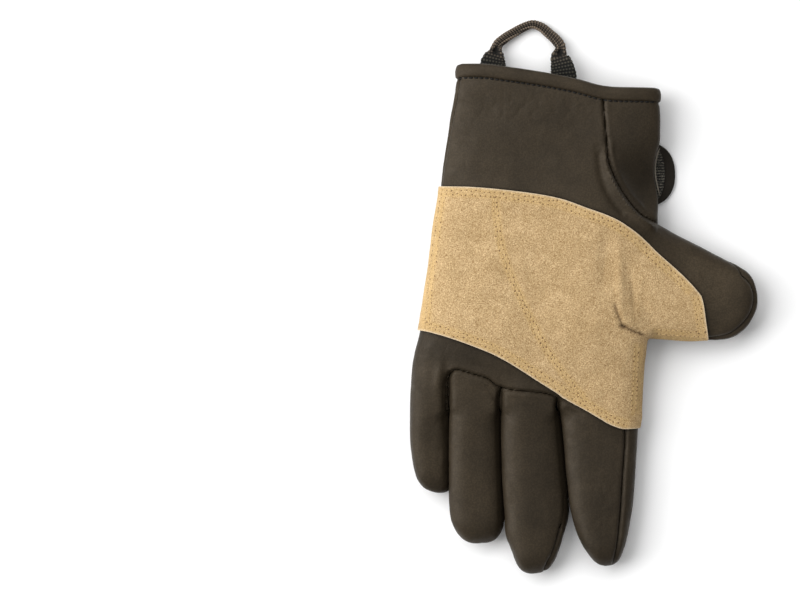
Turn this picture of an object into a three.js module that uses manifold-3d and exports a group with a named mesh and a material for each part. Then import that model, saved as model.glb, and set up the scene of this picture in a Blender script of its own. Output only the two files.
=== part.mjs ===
// Climbing glove for the left hand, lying on its back with the palm up.
// Millimetres, +X towards the thumb, +Y towards the cuff, +Z up. The floor is z = 0.
import * as THREE from 'three';
import { mergeVertices } from 'three/addons/utils/BufferGeometryUtils.js';
import Module from 'manifold-3d';

const wasm = await Module();
wasm.setup();

// Driving dimensions of the hand
const palmWidth = 110;
const handLength = 165;
const palmHeight = 26;
const fingerHeight = 17.5;
const thumbHeight = 20;
const thumbReach = 53.3;
const thumbSpan = 55.2;
const littleLength = 37;
const ringLength = 60;
const middleLength = 74.5;
const indexLength = 70.8;

// Leather and seams
const leather = 1.2;
const suede = 1.4;
const seamGap = 0.3;
const fingerGap = 0.6;
const rootTuck = 3;
const pressedFlat = 2.5;
const patchAboveSeam = 4;

// Cuff edge and its binding
const hemDrop = 12;
const bindingDepth = 5;
const bindingLeather = 1.2;

// Hanging loop of webbing
const tapeWidth = 12.5;
const tapeThickness = 1.6;
const foldedTape = 4.2;
const loopRise = 24.5;
const loopSpan = 34;
const legTuck = 13;

// Closure strap behind the wrist
const strapWidth = 30.5;
const strapThickness = 2;
const strapLength = 84;
const strapPoke = 8.4;
const padThickness = 1.2;
const hookPadLength = 34;
const loopPadLength = 27;
const padMargin = 1.2;
const wristRise = strapThickness + 2 * padThickness + 3 * seamGap;

// The frame: the hand's axis is a little left of the middle because the thumb sticks out
const axisInset = 27.5;
const axisX = -axisInset;
const hemY = 106.4;
const crotchY = hemY - handLength;

// How finely rings are divided
const handSides = 30;
const fingerSides = 18;
const thumbSides = 22;
const tapeSides = 8;

// Sections of the hand. along is a share of handLength from the cuff, left and right are shares
// of palmWidth from the axis, front is a share of palmHeight, rest a share of wristRise.
const handSections = [
  { along: -0.08, left: -0.300, right: 0.575, front: 0.80, rest: 1 },
  { along: 0.00, left: -0.308, right: 0.577, front: 0.80, rest: 1 },
  { along: 0.10, left: -0.322, right: 0.577, front: 0.83, rest: 1 },
  { along: 0.21, left: -0.347, right: 0.580, front: 0.87, rest: 1 },
  { along: 0.28, left: -0.365, right: 0.573, front: 0.91, rest: 1 },
  { along: 0.385, left: -0.387, right: 0.569, front: 0.96, rest: 1 },
  { along: 0.45, left: -0.402, right: 0.567, front: 0.99, rest: 0.78 },
  { along: 0.535, left: -0.417, right: 0.560, front: 1.0, rest: 0.3 },
  { along: 0.63, left: -0.439, right: 0.547, front: 1.0, rest: 0 },
  { along: 0.72, left: -0.456, right: 0.533, front: 0.99, rest: 0 },
  { along: 0.77, left: -0.472, right: 0.521, front: 0.96, rest: 0 },
  { along: 0.84, left: -0.492, right: 0.507, front: 0.89, rest: 0 },
  { along: 0.90, left: -0.502, right: 0.500, front: 0.79, rest: 0 },
  { along: 0.95, left: -0.505, right: 0.500, front: 0.68, rest: 0 },
  { along: 1.00, left: -0.505, right: 0.504, front: 0.60, rest: 0 },
];

// Lines across the hand where fingers meet: across is a share of palmWidth from the axis
const fingerLines = {
  outerLittle: { root: -0.505, end: -0.500 },
  littleRing: { root: -0.334, end: -0.334 },
  ringMiddle: { root: -0.108, end: -0.098 },
  middleIndex: { root: 0.145, end: 0.188 },
  outerIndex: { root: 0.498, end: 0.463 },
};

// Fingers: tip is the length of the rounded end as a share of the finger's length, lean how much
// of the width that the tip loses is moved from the thumb's side to the other one.
const fingers = [
  { name: 'little', from: 'outerLittle', to: 'littleRing', length: littleLength, tip: 0.36, lean: 0.1 },
  { name: 'ring', from: 'littleRing', to: 'ringMiddle', length: ringLength, tip: 0.2, lean: 0.05 },
  { name: 'middle', from: 'ringMiddle', to: 'middleIndex', length: middleLength, tip: 0.27, lean: -0.01 },
  { name: 'index', from: 'middleIndex', to: 'outerIndex', length: indexLength, tip: 0.4, lean: 0.06 },
];

// Sections of the thumb, from its root inside the hand to its tip. The upper and lower ends of each
// section are shares of thumbReach and thumbSpan, measured from the fork between thumb and index.
const thumbSections = [
  { upperX: -0.82, upperY: 0.86, lowerX: -0.50, lowerY: 0.10, front: 1.15, rest: 0.5 },
  { upperX: -0.38, upperY: 1.06, lowerX: -0.22, lowerY: 0.02, front: 1.18, rest: 0.25 },
  { upperX: 0.09, upperY: 1.00, lowerX: 0.00, lowerY: 0.00, front: 1.12, rest: 0 },
  { upperX: 0.28, upperY: 0.887, lowerX: 0.21, lowerY: -0.013, front: 1.04, rest: 0 },
  { upperX: 0.48, upperY: 0.791, lowerX: 0.41, lowerY: -0.026, front: 0.98, rest: 0 },
  { upperX: 0.72, upperY: 0.67, lowerX: 0.60, lowerY: -0.035, front: 0.92, rest: 0 },
  { upperX: 0.89, upperY: 0.583, lowerX: 0.75, lowerY: -0.013, front: 0.84, rest: 0 },
  { upperX: 0.965, upperY: 0.496, lowerX: 0.874, lowerY: 0.061, front: 0.76, rest: 0 },
  { upperX: 0.995, upperY: 0.36, lowerX: 0.969, lowerY: 0.18, front: 0.62, rest: 0 },
];
const forkAcross = 0.521;
const forkAlong = 0.771;

// Soft dents in the palm side: places as shares of palmWidth and handLength, depth of palmHeight
const dents = [
  { name: 'wrist hollow', across: 0.465, along: 0.325, wide: 0.06, long: 0.11, depth: 0.2 },
  { name: 'thumb root', across: 0.440, along: 0.6, wide: 0.035, long: 0.12, depth: 0.1 },
  { name: 'fork pucker', across: 0.47, along: 0.745, wide: 0.04, long: 0.03, depth: 0.09 },
  { name: 'heel dimple', across: 0.31, along: 0.29, wide: 0.03, long: 0.08, depth: 0.06 },
];

// Outlines on the palm side: across is a share of palmWidth, along a share of handLength
const thumbSeam = [
  { across: 0.333, along: -0.1 },
  { across: 0.333, along: 0.081 },
  { across: 0.344, along: 0.186 },
  { across: 0.357, along: 0.259 },
  { across: 0.385, along: 0.308 },
  { across: 0.438, along: 0.367 },
  { across: 0.499, along: 0.413 },
  { across: 0.564, along: 0.440 },
];
const patchOutline = [
  { across: -0.460, along: 0.334 },
  { across: -0.376, along: 0.336 },
  { across: -0.047, along: 0.351 },
  { across: 0.150, along: 0.372 },
  { across: 0.377, along: 0.429 },
  { across: 0.564, along: 0.529 },
  { across: 0.665, along: 0.586 },
  { across: 0.752, along: 0.649 },
  { across: 0.769, along: 0.689 },
  { across: 0.793, along: 0.785 },
  { across: 0.800, along: 0.830 },
  { across: 0.535, along: 0.830 },
  { across: 0.520, along: 0.989 },
  { across: 0.479, along: 1.030 },
  { across: 0.425, along: 1.036 },
  { across: 0.372, along: 1.025 },
  { across: 0.307, along: 1.001 },
  { across: 0.132, along: 0.931 },
  { across: 0.008, along: 0.879 },
  { across: -0.103, along: 0.833 },
  { across: -0.215, along: 0.800 },
  { across: -0.382, along: 0.759 },
  { across: -0.560, along: 0.748 },
];
const crossSeam = [
  { across: -0.334, along: 0.866 },
  { across: -0.164, along: 0.893 },
  { across: -0.108, along: 0.921 },
  { across: 0.076, along: 0.934 },
  { across: 0.145, along: 0.952 },
];
const indexSeam = [
  { across: 0.425, along: 1.040 },
  { across: 0.420, along: 1.158 },
  { across: 0.398, along: 1.373 },
  { across: 0.378, along: 1.440 },
];
// On the back of the hand the thumb's piece starts at this share of palmWidth
const backThumbAcross = 0.446;

// The cuff's edge falls from the little finger's side to the thumb's: at is a share of its width
const hemLine = [
  { at: -0.1, drop: -0.02 },
  { at: 0.02, drop: 0.0 },
  { at: 0.12, drop: 0.03 },
  { at: 0.25, drop: 0.15 },
  { at: 0.46, drop: 0.43 },
  { at: 0.59, drop: 0.66 },
  { at: 0.70, drop: 0.92 },
  { at: 0.95, drop: 1.0 },
  { at: 1.1, drop: 1.08 },
];
const hemTopY = hemY + 2.6;
const hemLeftX = axisX - 0.308 * palmWidth;
const cuffWidth = 0.885 * palmWidth;

// The route of the hanging loop: shares of loopSpan from its left leg and of loopRise above the
// hem there; wide is a share of tapeWidth, fold how far the tape is folded into a round grip.
const loopRoute = [
  { across: 0.0, rise: 0.0, wide: 1.0, fold: 0 },
  { across: 0.04, rise: 0.21, wide: 0.85, fold: 0.2 },
  { across: 0.06, rise: 0.42, wide: 0.46, fold: 0.8 },
  { across: 0.16, rise: 0.62, wide: 0.36, fold: 1 },
  { across: 0.31, rise: 0.80, wide: 0.34, fold: 1 },
  { across: 0.43, rise: 0.93, wide: 0.34, fold: 1 },
  { across: 0.56, rise: 0.97, wide: 0.34, fold: 1 },
  { across: 0.67, rise: 0.92, wide: 0.34, fold: 1 },
  { across: 0.80, rise: 0.78, wide: 0.34, fold: 1 },
  { across: 0.91, rise: 0.60, wide: 0.35, fold: 1 },
  { across: 0.97, rise: 0.40, wide: 0.38, fold: 0.8 },
  { across: 0.98, rise: 0.18, wide: 0.75, fold: 0.2 },
  { across: 1.0, rise: -0.18, wide: 1.0, fold: 0 },
];
const loopLeftAcross = -0.147;
const strapAlong = 0.298;

const xAt = (across) => axisX + across * palmWidth;
const yAt = (along) => hemY - along * handLength;
const mix = (a, b, t) => a + (b - a) * t;

function tableAt(table, key, column, value) {
  let next = table.findIndex((row) => row[key] > value);
  if (next < 0) next = table.length - 1;
  next = Math.max(next, 1);
  const before = table[next - 1];
  const after = table[next];
  const t = THREE.MathUtils.clamp((value - before[key]) / (after[key] - before[key]), 0, 1);
  return mix(before[column], after[column], t);
}

const hemYAt = (x) => hemTopY - hemDrop * tableAt(hemLine, 'at', 'drop', (x - hemLeftX) / cuffWidth);

function dentAt(x, y) {
  return dents.reduce((sum, dent) => {
    const u = (x - xAt(dent.across)) / (dent.wide * palmWidth);
    const v = (y - yAt(dent.along)) / (dent.long * handLength);
    return sum + dent.depth * palmHeight * Math.exp(-u * u - v * v);
  }, 0);
}

// Solids from three.js geometry
function solidOf(geometry) {
  const bare = geometry.clone();
  bare.deleteAttribute('normal');
  bare.deleteAttribute('uv');
  const merged = mergeVertices(bare, 1e-5);
  const vertProperties = Float32Array.from(merged.attributes.position.array);
  const triVerts = Uint32Array.from(merged.index.array);
  return new wasm.Manifold(new wasm.Mesh({ numProp: 3, vertProperties, triVerts }));
}

function geometryOf(solid) {
  const mesh = solid.getMesh();
  const geometry = new THREE.BufferGeometry();
  geometry.setAttribute('position', new THREE.BufferAttribute(Float32Array.from(mesh.vertProperties), 3));
  geometry.setIndex(new THREE.BufferAttribute(Uint32Array.from(mesh.triVerts), 1));
  geometry.computeVertexNormals();
  return geometry;
}

function largestOf(solid) {
  const pieces = solid.decompose();
  return pieces.reduce((best, piece) => (piece.volume() > best.volume() ? piece : best));
}

// A closed skin through rings of points, capped by a fan at each end
function loft(rings) {
  const sides = rings[0].length;
  const points = rings.flat();
  const index = [];
  for (let r = 0; r + 1 < rings.length; r += 1) {
    for (let s = 0; s < sides; s += 1) {
      const a = r * sides + s;
      const b = r * sides + ((s + 1) % sides);
      index.push(a, b, a + sides, b, b + sides, a + sides);
    }
  }
  const capRing = (ring, first, turned) => {
    const middle = ring.reduce((sum, p) => sum.add(p), new THREE.Vector3()).divideScalar(sides);
    points.push(middle);
    for (let s = 0; s < sides; s += 1) {
      const a = first + s;
      const b = first + ((s + 1) % sides);
      index.push(points.length - 1, turned ? b : a, turned ? a : b);
    }
  };
  capRing(rings[0], 0, true);
  capRing(rings[rings.length - 1], (rings.length - 1) * sides, false);
  let volume = 0;
  for (let i = 0; i < index.length; i += 3) {
    const [a, b, c] = [points[index[i]], points[index[i + 1]], points[index[i + 2]]];
    volume += a.dot(b.clone().cross(c));
  }
  if (volume < 0) index.reverse();
  const geometry = new THREE.BufferGeometry().setFromPoints(points);
  geometry.setIndex(index);
  return solidOf(geometry);
}

// One ring of soft leather: an arch in front, an arch behind that is pressed flat at lowest
function softRing({ from, to, edge, front, lowest, sides, power }) {
  const centre = from.clone().lerp(to, 0.5);
  const half = to.clone().sub(from).multiplyScalar(0.5);
  const ring = [];
  for (let s = 0; s < sides; s += 1) {
    const angle = (2 * Math.PI * (s + 0.5)) / sides;
    const cos = Math.cos(angle);
    const sin = Math.sin(angle);
    const across = Math.sign(cos) * Math.abs(cos) ** (2 / power);
    const up = Math.sign(sin) * Math.abs(sin) ** (2 / power);
    const point = centre.clone().addScaledVector(half, across);
    const reach = up > 0 ? front - edge : edge - lowest + pressedFlat;
    const dent = up > 0 ? dentAt(point.x, point.y) * up : 0;
    point.z = Math.max(edge + up * reach - dent, lowest);
    ring.push(point);
  }
  return ring;
}

function handForm(grow) {
  const rings = handSections.map((row, i) => {
    const last = i === handSections.length - 1;
    const y = yAt(row.along) - (last ? grow : 0);
    const rest = row.rest * wristRise;
    const front = row.front * palmHeight;
    return softRing({
      from: new THREE.Vector3(xAt(row.left) - grow, y, 0),
      to: new THREE.Vector3(xAt(row.right) + grow, y, 0),
      edge: mix(rest, front, 0.5),
      front: front + grow,
      lowest: rest - grow,
      sides: handSides,
      power: 2.5,
    });
  });
  return loft(rings);
}

// The line between two fingers, or the outer edge of the hand, at a height y
function fingerLineAt(name, y) {
  const line = fingerLines[name];
  const t = (crotchY - y) / middleLength;
  return xAt(mix(line.root, line.end, Math.max(t, -0.2)));
}

function fingerForm(finger, grow) {
  const tipY = crotchY - finger.length - grow;
  const tipLength = finger.tip * finger.length;
  const rootY = crotchY + 0.14 * handLength;
  const straight = [0, 0.3, 0.62, 1].map((t) => ({
    y: mix(rootY, tipY + tipLength, t),
    round: 1,
    tuck: t === 0 ? rootTuck : 0,
  }));
  const rounded = [0.62, 0.34, 0.14, 0.02].map((share) => ({
    y: tipY + tipLength * share,
    round: Math.sqrt(1 - (1 - share) ** 2),
    tuck: 0,
  }));
  const rings = [...straight, ...rounded].map(({ y, round, tuck }) => {
    const left = fingerLineAt(finger.from, y) + fingerGap / 2 - grow + tuck;
    const right = fingerLineAt(finger.to, y) - fingerGap / 2 + grow - tuck;
    const half = (right - left) / 2 * round;
    const spare = (right - left) / 2 - half;
    const middle = mix(left, right, 0.5) + spare * 2 * finger.lean;
    const rootRise = THREE.MathUtils.clamp((y - crotchY) / (rootY - crotchY), 0, 1);
    const high = fingerHeight + 0.12 * fingerHeight * rootRise;
    const edge = fingerHeight / 2;
    const lowest = mix(edge, -grow, Math.min(1, round * 1.1));
    return softRing({
      from: new THREE.Vector3(middle - half, y, 0),
      to: new THREE.Vector3(middle + half, y, 0),
      edge,
      front: mix(edge, high + grow, round),
      lowest,
      sides: fingerSides,
      power: 2.3,
    });
  });
  return loft(rings);
}

const thumbX = (share) => xAt(forkAcross) + share * thumbReach;
const thumbY = (share) => yAt(forkAlong) + share * thumbSpan;

function thumbForm(grow) {
  const rings = thumbSections.map((row, i) => {
    const lower = new THREE.Vector3(thumbX(row.lowerX), thumbY(row.lowerY), 0);
    const upper = new THREE.Vector3(thumbX(row.upperX), thumbY(row.upperY), 0);
    const out = upper.clone().sub(lower).setLength(grow);
    if (i >= thumbSections.length - 3) {
      lower.x += grow;
      upper.x += grow;
    }
    const rest = row.rest * wristRise;
    const front = row.front * thumbHeight;
    return softRing({
      from: lower.sub(out),
      to: upper.add(out),
      edge: mix(rest, thumbHeight, 0.5),
      front: front + grow,
      lowest: rest - grow,
      sides: thumbSides,
      power: 2.3,
    });
  });
  return loft(rings);
}

// The whole soft form, grown outwards or, below zero, shrunk inwards
function gloveForm(grow) {
  return fingers.reduce(
    (sum, finger) => sum.add(fingerForm(finger, grow)),
    handForm(grow).add(thumbForm(grow)),
  );
}

// An upright block over an outline in plan
function prism(outline, low, high) {
  const shape = new THREE.Shape(outline.map(([x, y]) => new THREE.Vector2(x, y)));
  const block = new THREE.ExtrudeGeometry(shape, { depth: high - low, bevelEnabled: false });
  block.translate(0, 0, low);
  return solidOf(block);
}

const places = (rows) => rows.map((row) => [xAt(row.across), yAt(row.along)]);
const farOut = 2 * (palmWidth + handLength);
const pastTips = 0.06 * handLength;
const tall = 2 * palmHeight;

// Everything above, or below, the seam that runs round the side of the hand
const sideSeam = [
  { along: -0.2, height: mix(wristRise, palmHeight * 0.8, 0.55) },
  { along: 0.3, height: mix(wristRise, palmHeight * 0.9, 0.55) },
  { along: 0.6, height: palmHeight * 0.52 },
  { along: 0.8, height: palmHeight * 0.48 },
  { along: 1.0, height: fingerHeight * 0.53 },
  { along: 2.0, height: fingerHeight * 0.53 },
];
function sideBlock(shift, edgeZ) {
  const outline = sideSeam.map((row) => new THREE.Vector2(yAt(row.along), row.height + shift));
  outline.push(new THREE.Vector2(yAt(2), edgeZ), new THREE.Vector2(yAt(-0.2), edgeZ));
  const shape = new THREE.Shape(outline);
  const block = new THREE.ExtrudeGeometry(shape, { depth: farOut, bevelEnabled: false });
  block.translate(0, 0, -farOut / 2);
  // the outline was drawn in y and z, so turn its plane upright
  block.applyMatrix4(new THREE.Matrix4().set(0, 0, 1, 0, 1, 0, 0, 0, 0, 1, 0, 0, 0, 0, 0, 1));
  return solidOf(block);
}

const halfGap = seamGap / 2;
const aboveSeam = sideBlock(halfGap, tall);
const belowSeam = sideBlock(-halfGap, -tall);

// The mouth of the cuff: everything past the edge, moved along by a shift
function pastHem(shift) {
  const line = hemLine.map((row) => {
    const x = hemLeftX + row.at * cuffWidth;
    return [x, hemTopY - hemDrop * row.drop + shift];
  });
  const last = line[line.length - 1];
  return prism([...line, [last[0] + farOut, last[1]], [last[0] + farOut, farOut],
    [line[0][0] - farOut, farOut], [line[0][0] - farOut, line[0][1]]], -tall, tall);
}

// The thumb's own piece: its wrist side in front and all of the thumb behind
function thumbRegions(grow) {
  const seam = places(thumbSeam).map(([x, y]) => [x - grow, y - grow]);
  const seamEnd = seam[seam.length - 1];
  const front = prism([...seam, [farOut, seamEnd[1]], [farOut, seam[0][1]]], -tall, tall);
  const left = xAt(backThumbAcross) - grow;
  const top = yAt(-0.2);
  const fork = yAt(forkAlong + 0.012) - grow;
  const back = prism([[left, top], [left, fork], [farOut, fork], [farOut, top]], -tall, tall);
  return { front, back };
}

// The side strips between two fingers, and the web that joins them at the fork
const stripHalfWidth = 4.2;
const stripHeight = 8.4;
function stripRegion(name, length, grow) {
  const top = crotchY + leather + 2 + grow;
  const bottom = crotchY - length * 0.86 - grow;
  const half = stripHalfWidth + grow;
  const outline = [
    [fingerLineAt(name, top) - half, top],
    [fingerLineAt(name, bottom) - half, bottom],
    [fingerLineAt(name, bottom) + half, bottom],
    [fingerLineAt(name, top) + half, top],
  ];
  const middle = fingerHeight / 2;
  return prism(outline, middle - stripHeight / 2 - grow, middle + stripHeight / 2 + grow);
}
const strips = [
  { name: 'fourchette_little_ring', line: 'littleRing', length: littleLength },
  { name: 'fourchette_ring_middle', line: 'ringMiddle', length: ringLength },
  { name: 'fourchette_middle_index', line: 'middleIndex', length: indexLength },
];

// Fronts of the two middle fingers, below the stepped cross seam
function frontRegion(from, to, grow) {
  const tipY = crotchY - middleLength - pastTips;
  const left = fingerLineAt(from, crotchY) - grow;
  const right = fingerLineAt(to, crotchY) + grow;
  const seam = places(crossSeam)
    .filter(([x]) => x > left - 1 && x < right + 1)
    .map(([x, y]) => [THREE.MathUtils.clamp(x, left, right), y + grow]);
  seam[0][0] = left;
  seam[seam.length - 1][0] = right;
  const down = [[fingerLineAt(to, tipY) + grow, tipY], [fingerLineAt(from, tipY) - grow, tipY]];
  return prism([...seam, ...down], -tall, tall);
}

// The thumb side of the index finger belongs to the back, past a seam near its edge
function indexSide(grow) {
  const seam = places(indexSeam).map(([x, y]) => [x - grow, y]);
  const top = seam[0][1] + grow;
  seam[0][1] = top;
  const end = seam[seam.length - 1];
  const bottom = end[1] - pastTips;
  return prism([...seam, [end[0], bottom], [farOut, bottom], [farOut, top]], -tall, tall);
}

function leatherPanels() {
  const open = gloveForm(0).subtract(gloveForm(-leather)).subtract(pastHem(0));
  const stripWide = strips.map((strip) => stripRegion(strip.line, strip.length, halfGap));
  const shell = stripWide.reduce((rest, region) => rest.subtract(region), open);
  const thumbWide = thumbRegions(halfGap);
  const thumbOwn = thumbRegions(-halfGap);
  const indexOwn = indexSide(-halfGap);
  const front = shell.intersect(aboveSeam).subtract(thumbWide.front).subtract(indexSide(halfGap));
  const back = shell.intersect(belowSeam).subtract(thumbWide.back);
  const panels = {
    back_panel: back.add(shell.intersect(indexOwn)),
    thumb_back: shell.intersect(aboveSeam).intersect(thumbOwn.front)
      .add(shell.intersect(thumbOwn.front.intersect(thumbOwn.back)))
      .add(shell.intersect(belowSeam).intersect(thumbOwn.back)),
    ring_front: front.intersect(frontRegion('littleRing', 'ringMiddle', -halfGap)),
    middle_front: front.intersect(frontRegion('ringMiddle', 'middleIndex', -halfGap)),
    palm_panel: front.subtract(frontRegion('littleRing', 'middleIndex', halfGap)),
  };
  strips.forEach((strip) => {
    panels[strip.name] = open.intersect(stripRegion(strip.line, strip.length, -halfGap));
  });
  return panels;
}

function palmPatch() {
  const raised = gloveForm(seamGap + suede).subtract(gloveForm(seamGap));
  return raised.intersect(prism(places(patchOutline), 0, tall)).intersect(sideBlock(patchAboveSeam, tall));
}

// Folded binding round the cuff's edge, with a slot for the leather
function cuffBinding() {
  const outside = seamGap + bindingLeather;
  const inside = leather + seamGap + bindingLeather;
  const roll = gloveForm(outside).subtract(gloveForm(-inside));
  const slot = gloveForm(seamGap).subtract(gloveForm(-leather - seamGap));
  return roll.intersect(pastHem(-bindingDepth)).subtract(pastHem(outside))
    .subtract(slot.subtract(pastHem(seamGap)));
}

// Height of the inner face of the binding on the wrist's back
function tuckHeight() {
  return wristRise + leather + 2 * seamGap + bindingLeather;
}

function hangingLoop() {
  const leftX = xAt(loopLeftAcross);
  const baseY = hemYAt(leftX) - 1;
  const curve = new THREE.CatmullRomCurve3(loopRoute.map((row) => new THREE.Vector3(
    leftX + row.across * loopSpan,
    baseY + row.rise * loopRise,
    0,
  )));
  const tuckZ = tuckHeight() + seamGap + tapeThickness / 2;
  const restZ = foldedTape / 2;
  const steps = 2 * (loopRoute.length - 1);
  const rings = [];
  for (let i = 0; i <= steps; i += 1) {
    const t = i / steps;
    const row = t * (loopRoute.length - 1);
    const low = Math.min(Math.floor(row), loopRoute.length - 2);
    const share = row - low;
    const wide = mix(loopRoute[low].wide, loopRoute[low + 1].wide, share) * tapeWidth;
    const fold = mix(loopRoute[low].fold, loopRoute[low + 1].fold, share);
    const centre = curve.getPoint(t);
    const side = curve.getTangent(t).cross(new THREE.Vector3(0, 0, 1)).normalize();
    centre.z = mix(tuckZ, restZ, THREE.MathUtils.smoothstep(centre.y, baseY, baseY + loopRise));
    rings.push(tapeRing(centre, side, wide, mix(tapeThickness, foldedTape, fold)));
  }
  const legs = [[rings[0], 0], [rings[rings.length - 1], rings.length]];
  legs.forEach(([ring, place]) => {
    const tucked = ring.map((p) => new THREE.Vector3(p.x, p.y - legTuck, p.z));
    rings.splice(place === 0 ? 0 : rings.length, 0, tucked);
  });
  return loft(rings);
}

function tapeRing(centre, side, wide, thick) {
  const ring = [];
  for (let s = 0; s < tapeSides; s += 1) {
    const angle = (2 * Math.PI * (s + 0.5)) / tapeSides;
    const cos = Math.cos(angle);
    const sin = Math.sin(angle);
    const across = Math.sign(cos) * Math.sqrt(Math.abs(cos));
    const up = Math.sign(sin) * Math.sqrt(Math.abs(sin));
    const point = centre.clone().addScaledVector(side, across * wide / 2);
    point.z += up * thick / 2;
    ring.push(point);
  }
  return ring;
}

// A flat band along X with a round right end. Its left end may rise to be sewn on.
function roundEndedBand({ right, length, width, low, thick, rise }) {
  const middleY = yAt(strapAlong);
  const radius = width * 0.54;
  const bulge = radius - Math.sqrt(radius * radius - (width * width) / 4);
  const straight = [0, 0.1, 0.22, 0.34, 0.5].map((t) => ({
    x: mix(right - length, right - bulge, t),
    half: width / 2,
    low: low + rise * (1 - THREE.MathUtils.smoothstep(t, 0.1, 0.34)),
  }));
  const rounded = [0, 0.3, 0.6, 0.85, 0.97].map((share) => ({
    x: right - bulge * (1 - share),
    half: Math.sqrt(radius * radius - (radius - bulge * (1 - share)) ** 2),
    low,
  }));
  return loft([...straight, ...rounded].map((row) => [
    new THREE.Vector3(row.x, middleY - row.half, row.low),
    new THREE.Vector3(row.x, middleY + row.half, row.low),
    new THREE.Vector3(row.x, middleY + row.half, row.low + thick),
    new THREE.Vector3(row.x, middleY - row.half, row.low + thick),
  ]));
}

const strapEndX = xAt(0.575) + strapPoke;
const closureStrap = () => roundEndedBand({
  right: strapEndX,
  length: strapLength,
  width: strapWidth,
  low: 0,
  thick: strapThickness,
  rise: wristRise - strapThickness - seamGap,
});
const hookPad = () => roundEndedBand({
  right: strapEndX - padMargin,
  length: hookPadLength,
  width: strapWidth - 2 * padMargin,
  low: strapThickness + seamGap,
  thick: padThickness,
  rise: 0,
});
function wristLoopPad() {
  const right = xAt(0.40);
  const half = strapWidth / 2 - padMargin;
  const middleY = yAt(strapAlong);
  const low = strapThickness + padThickness + 2 * seamGap;
  const outline = [[right - loopPadLength, middleY - half], [right, middleY - half],
    [right, middleY + half], [right - loopPadLength, middleY + half]];
  return prism(outline, low, low + padThickness);
}

// Materials
const blackLeather = { color: 0x40392f, roughness: 0.5, metalness: 0 };
const tanSuede = { color: 0xceb084, roughness: 0.95, metalness: 0 };
const blackWebbing = { color: 0x26241f, roughness: 0.85, metalness: 0 };
const blackTape = { color: 0x1c1b1a, roughness: 0.9, metalness: 0 };

function part(name, solid, look) {
  const mesh = new THREE.Mesh(geometryOf(largestOf(solid)), new THREE.MeshStandardMaterial(look));
  mesh.name = name;
  return mesh;
}

const glove = new THREE.Group();
Object.entries(leatherPanels()).forEach(([name, solid]) => glove.add(part(name, solid, blackLeather)));
glove.add(part('palm_patch', palmPatch(), tanSuede));
glove.add(part('cuff_binding', cuffBinding(), blackLeather));
glove.add(part('hanging_loop', hangingLoop(), blackWebbing));
glove.add(part('closure_strap', closureStrap(), blackLeather));
glove.add(part('strap_hook_pad', hookPad(), blackTape));
glove.add(part('wrist_loop_pad', wristLoopPad(), blackTape));

// The origin is under the middle of the glove, on the floor
const box = new THREE.Box3().setFromObject(glove);
glove.position.set(-(box.min.x + box.max.x) / 2, -(box.min.y + box.max.y) / 2, -box.min.z);

export default glove;
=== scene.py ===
"""Looks of a leather climbing glove for the left hand, lying on its back with the palm up.

Lengths are millimetres until a mesh is made. Places that were read from the photograph are
pixels of its 800 x 600 frame: PIXEL is one pixel's size and at() turns them into millimetres.
"""

import math

import bmesh
import bpy
import numpy as np
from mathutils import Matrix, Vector
from mathutils.bvhtree import BVHTree


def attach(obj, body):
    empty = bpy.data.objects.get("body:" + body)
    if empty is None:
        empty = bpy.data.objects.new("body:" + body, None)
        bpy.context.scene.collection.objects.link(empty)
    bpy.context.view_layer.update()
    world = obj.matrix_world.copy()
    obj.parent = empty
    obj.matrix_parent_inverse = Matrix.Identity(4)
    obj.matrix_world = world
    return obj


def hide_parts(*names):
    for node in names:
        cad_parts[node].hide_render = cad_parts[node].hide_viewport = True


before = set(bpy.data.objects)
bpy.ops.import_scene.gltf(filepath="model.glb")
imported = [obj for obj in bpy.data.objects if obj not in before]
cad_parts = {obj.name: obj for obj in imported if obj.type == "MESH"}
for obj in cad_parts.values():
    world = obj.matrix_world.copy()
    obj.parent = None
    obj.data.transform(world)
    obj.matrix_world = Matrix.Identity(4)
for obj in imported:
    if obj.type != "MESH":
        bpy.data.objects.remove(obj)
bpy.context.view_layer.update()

MM = 0.001
PIXEL = 0.48
ORIGIN_PIXEL = np.array([583.0, 293.6])
VOXEL = 0.785
SEED = 7
HASH_PRIMES = np.array([73856093, 19349663, 83492791])

# Leather, suede and seams, millimetres
LEATHER = 1.2
SUEDE = 1.3
PATCH_GAP = 0.12
SEAM_GAP = 0.13
SEAM_DEPTH = 1.3
SEAM_WIDTH = 0.7
STRIP_SEAM_DEPTH = 0.3
FINGER_SPREAD = 1.9
FINGER_CLOSED = 0.12
FINGER_GAP = 0.34
FINGER_OVERLAP = 1.2
LEAN_MIDDLE, LEAN_HALF = 10.0, 3.5
OVERLAP_REACH = 2.4
OPENING_ROUNDS = 40
TIP_ROWS = 24
BLEND_ROUNDS = 45
SLIT_REACH, SLIT_ROUNDS = 2.2, 8
PRESSED_FLAT = 2.5
SHEET_SHARP = 50
# How square the sections are, how far the hand's front rolls, and how finely each form is divided
HAND_POWER, FINGER_POWER, THUMB_POWER = 3.2, 2.8, 2.3
HAND_ROLL = 0.5
FORM_SIDES, HAND_RINGS, FINGER_RINGS, THUMB_RINGS = 120, 190, 90, 120
PALM_HEIGHT = 26.0
FINGER_HEIGHTS = [15.4, 17.6, 18.2, 17.4]
THUMB_HEIGHT = 20.0
WRIST_RISE = 5.3
# How much higher a finger's root is than the finger and how many pixels round the fork that takes,
# how closely rings crowd at the tip, the section where the thumb's tip starts to lift off, and by
# which share of its height
ROOT_RISE, ROOT_REACH = 0.22, 30
TIP_CROWDING = 2.2
THUMB_TIP_FROM, THUMB_TIP_RISE = 6, 0.42
# Creases that are rounded, in pixels: middle and half sizes at the thumb, row and rows at the fingers
THUMB_ROOT = ((638, 275), (34, 62))
FORM_ROUNDS = 8
# Height above which leather counts as front, millimetres
FRONT_FROM = 9
FINGER_ROOT_ROW, FINGER_ROOT_ROWS = 392, 26

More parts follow.
